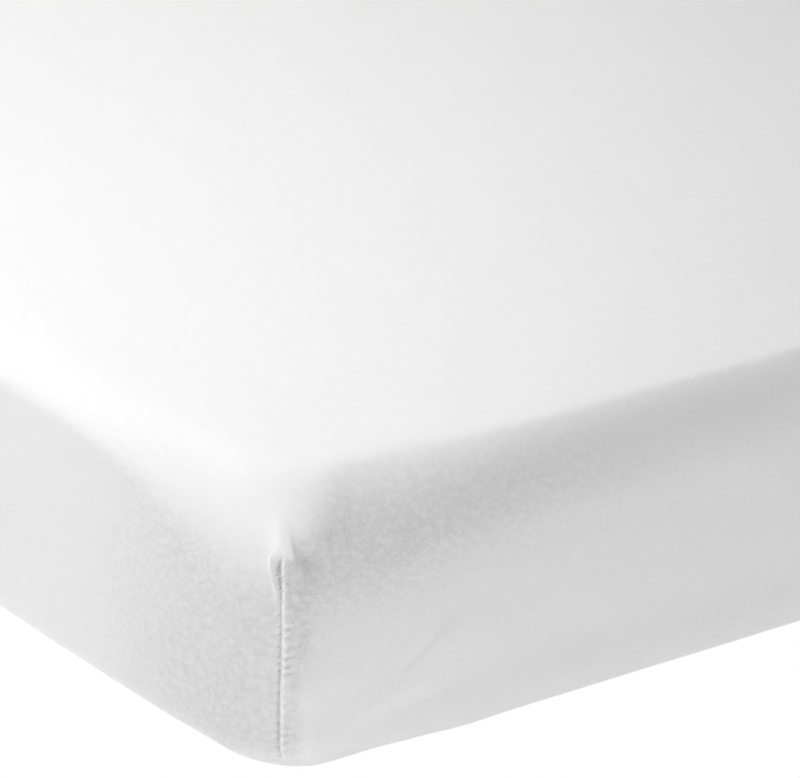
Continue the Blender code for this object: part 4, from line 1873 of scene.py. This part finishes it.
@dataclass(frozen=True)
class SewingThread:
    """White polyester sewing thread, spun and twisted from two plies.

    The twist gives it a slight satin gleam along its ridges.
    """

    colour: str = "#F7F7F7"
    twist: float = 0.45 * MM
    twist_depth: float = 0.05 * MM
    roughness: float = 0.65
    sheen: float = 0.5

    def material(self) -> bpy.types.Material:
        """Build the thread's material, with its twist as fine slanted ridges.

        Returns:
            The material.
        """
        material, tree, shader = new_material("white_polyester_thread_spun")
        spot = add_node(tree, "TexCoord").outputs["Object"]
        twist = add_node(tree, "TexWave", {"bands_direction": "DIAGONAL"}, {
            "Vector": spot, "Scale": 0.5 / self.twist, "Distortion": 0.5,
        })
        bump = add_node(tree, "Bump", {}, {
            "Height": twist.outputs["Fac"], "Strength": 0.6, "Distance": self.twist_depth,
        })
        feed(tree, shader, {
            "Base Color": linear(self.colour),
            "Roughness": self.roughness,
            "Sheen Weight": self.sheen,
            "Normal": bump.outputs["Normal"],
        })
        return material


@dataclass(frozen=True)
class CottonTicking:
    """Plain off-white ticking: a dense cotton twill, woven, which gives a matt even cover."""

    light: str = "#EDEBE4"
    dim: str = "#DFDCD3"
    rib: float = 1.6 * MM  # of the twill, drawn coarser than real so that it shows
    rib_depth: float = 0.15 * MM
    roughness: float = 0.88
    specular: float = 0.25

    def material(self) -> bpy.types.Material:
        """Build the ticking, with the twill's ribs in its colour and its relief.

        Returns:
            The material.
        """
        material, tree, shader = new_material("cotton_ticking_woven")
        spot = add_node(tree, "TexCoord").outputs["Object"]
        ribs = add_node(tree, "TexWave", {"bands_direction": "DIAGONAL"}, {
            "Vector": spot, "Scale": 0.35 / self.rib, "Distortion": 0.6, "Detail": 2.0,
        }).outputs["Fac"]
        colour = add_node(tree, "Mix", {"data_type": "RGBA"}, {
            0: ribs, 6: linear(self.dim), 7: linear(self.light),
        })
        bump = add_node(tree, "Bump", {}, {"Height": ribs, "Strength": 0.5, "Distance": self.rib_depth})
        feed(tree, shader, {
            "Base Color": colour.outputs[2],
            "Roughness": self.roughness,
            "Specular IOR Level": self.specular,
            "Normal": bump.outputs["Normal"],
        })
        return material


@dataclass(frozen=True)
class Softbox:
    """A soft studio light: where it hangs, what it is aimed at, its size and its power."""

    name: str
    place: tuple[float, float, float]
    aim: tuple[float, float, float]
    size: tuple[float, float]
    power: float

    def hang(self) -> bpy.types.Object:
        """Hang the light in the studio, out of the camera's sight.

        Returns:
            The light.
        """
        data = bpy.data.lights.new(self.name, "AREA")
        data.shape = "RECTANGLE"
        data.size, data.size_y = self.size
        data.energy = self.power
        light = bpy.data.objects.new(self.name, data)
        light.location = self.place
        aim = Vector(self.aim) - Vector(self.place)
        light.rotation_euler = aim.to_track_quat("-Z", "Y").to_euler()
        light.visible_camera = False
        bpy.context.scene.collection.objects.link(light)
        return light


@dataclass(frozen=True)
class Studio:
    """A plain pale floor, plain soft light and the camera at the photo's angle."""

    corner: tuple[float, float, float]  # where the two walls seen would meet on the floor
    boxes: tuple[Softbox, ...]
    white: str = "#FFFFFF"
    sky: float = 0.0
    glow: float = 0.282  # of the paper floor, which is lit from below
    floor_size: float = 60.0
    floor_colour: str = "#F0F0F0"
    floor_roughness: float = 0.9
    floor_gap: float = 0.2 * MM  # under the object
    image: tuple[float, float] = (800.0, 778.0)
    corner_pixel: tuple[float, float] = (261.6, 810.8)
    focal_pixels: float = 5000.0
    sensor: float = 36.0
    far: float = 200.0
    pitch: float = math.radians(22.12)  # the camera looks down by this much
    turned: float = math.radians(34.98)  # and this much off the long side
    distance: float = 1.4933

    def camera(self) -> bpy.types.Object:
        """Set the camera up so that the corner lies at its pixel, and make it the scene's.

        Returns:
            The camera.
        """
        right = Vector((math.sin(self.turned), math.cos(self.turned), 0.0))
        level = Vector((-math.cos(self.turned), math.sin(self.turned), 0.0))
        up = level * math.sin(self.pitch) + Vector((0.0, 0.0, math.cos(self.pitch)))
        ahead = level * math.cos(self.pitch) - Vector((0.0, 0.0, math.sin(self.pitch)))
        aside = (self.corner_pixel[0] - self.image[0] / 2.0) / self.focal_pixels
        below = (self.corner_pixel[1] - self.image[1] / 2.0) / self.focal_pixels
        place = Vector(self.corner) - (right * aside - up * below + ahead) * self.distance
        data = bpy.data.cameras.new("camera")
        data.sensor_width = self.sensor
        data.lens = self.focal_pixels * self.sensor / self.image[0]
        data.clip_end = self.far
        camera = bpy.data.objects.new("camera", data)
        turn = Matrix((right, up, -ahead)).transposed().to_4x4()
        camera.matrix_world = Matrix.Translation(place) @ turn
        bpy.context.scene.collection.objects.link(camera)
        bpy.context.scene.camera = camera
        return camera

    def floor(self) -> bpy.types.Object:
        """Lay the pale floor just under the object.

        Returns:
            The floor.
        """
        half, low = self.floor_size / 2.0, -self.floor_gap
        corners = [(-half, -half, low), (half, -half, low), (half, half, low), (-half, half, low)]
        data = bpy.data.meshes.new("floor")
        data.from_pydata(corners, [], [(0, 1, 2, 3)])
        floor = bpy.data.objects.new("floor", data)
        bpy.context.scene.collection.objects.link(floor)
        data.materials.append(self.floor_material())
        return floor

    def floor_material(self) -> bpy.types.Material:
        """Build the floor's white studio paper, lit so brightly that it looks even.

        Returns:
            The material.
        """
        material, tree, shader = new_material("studio_paper_matt")
        feed(tree, shader, {
            "Base Color": linear(self.floor_colour),
            "Roughness": self.floor_roughness,
            "Emission Color": linear(self.white),
            "Emission Strength": self.glow,
        })
        glow = add_node(tree, "Emission", {}, {"Color": linear(self.white)})
        self.show_bright(tree, shader, glow, tree.nodes["Material Output"])
        return material

    def sky_light(self) -> None:
        """Fill the room with even light, seen as white by the camera."""
        world = bpy.data.worlds.new("studio")
        world.use_nodes = True
        bpy.context.scene.world = world
        tree = world.node_tree
        light = tree.nodes["Background"]
        feed(tree, light, {"Color": linear(self.white), "Strength": self.sky})
        bright = add_node(tree, "Background", {}, {"Color": linear(self.white)})
        self.show_bright(tree, light, bright, tree.nodes["World Output"])

    def show_bright(
        self,
        tree: bpy.types.NodeTree,
        lit: bpy.types.Node,
        bright: bpy.types.Node,
        output: bpy.types.Node,
    ) -> None:
        """Show plain white where the picture looks at the studio, and light the object as it is.

        Args:
            tree: the node tree of the floor or the sky.
            lit: the shader that lights the object.
            bright: the white one that the picture shows.
            output: the tree's output.
        """
        path = add_node(tree, "LightPath")
        seen = add_node(tree, "MixShader", {}, {
            0: path.outputs["Is Camera Ray"], 1: lit.outputs[0], 2: bright.outputs[0],
        })
        feed(tree, output, {"Surface": seen.outputs[0]})

    def build(self) -> None:
        """Set up the camera, the floor and all the light, shown without a film curve."""
        self.camera()
        self.floor()
        self.sky_light()
        for box in self.boxes:
            box.hang()
        bpy.context.scene.view_settings.view_transform = "Standard"


AIM = (0.45, -0.15, 0.05)  # what the softboxes light: the top, a little behind the corner

SOFTBOXES = (
    # name, place, what it is aimed at, size, power in watts
    Softbox("key", (0.296, -0.417, 0.896), AIM, (0.50, 0.50), 3.4),
    Softbox("fill", (0.334, -0.585, 0.829), AIM, (0.50, 0.50), 2.1),
    Softbox("side", (0.618, -0.612, 0.394), AIM, (0.35, 0.35), 0.56),
    Softbox("end", (2.926, -0.15, 0.398), AIM, (1.2, 1.2), 20.4),
    Softbox("back", (-0.829, 0.076, 0.800), AIM, (0.80, 0.80), 10.9),
)


def report(piece: bpy.types.Object) -> None:
    """Say in the log that a piece is made."""
    LOG.info("%s: %d faces", piece.name, len(piece.data.polygons))


def main() -> None:
    """Build the sheet, its thread, the mattress and the studio, in that order."""
    low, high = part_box("fitted_sheet")
    LOG.info("packed sheet: %.4f x %.4f x %.4f m", *(b - a for a, b in zip(low, high)))
    form = SheetForm(length=1.200, width=0.600, height=0.100)
    sheet = FittedSheet(form, DartSeam(form), Unevenness())
    cloth = sheet.build()
    sheet.dress(cloth, CottonJersey())
    report(cloth)
    seams = SeamThread(sheet)
    thread = seams.build()
    seams.dress(thread, SewingThread())
    report(thread)
    mattress = Mattress(sheet)
    pad = mattress.build()
    mattress.dress(pad, CottonTicking())
    report(pad)
    corner = (form.length / 2.0, -form.width / 2.0, 0.0)
    Studio(corner, SOFTBOXES).build()


if __name__ == "__main__":
    logging.basicConfig(level=logging.INFO, format="%(name)s: %(message)s")
    main()
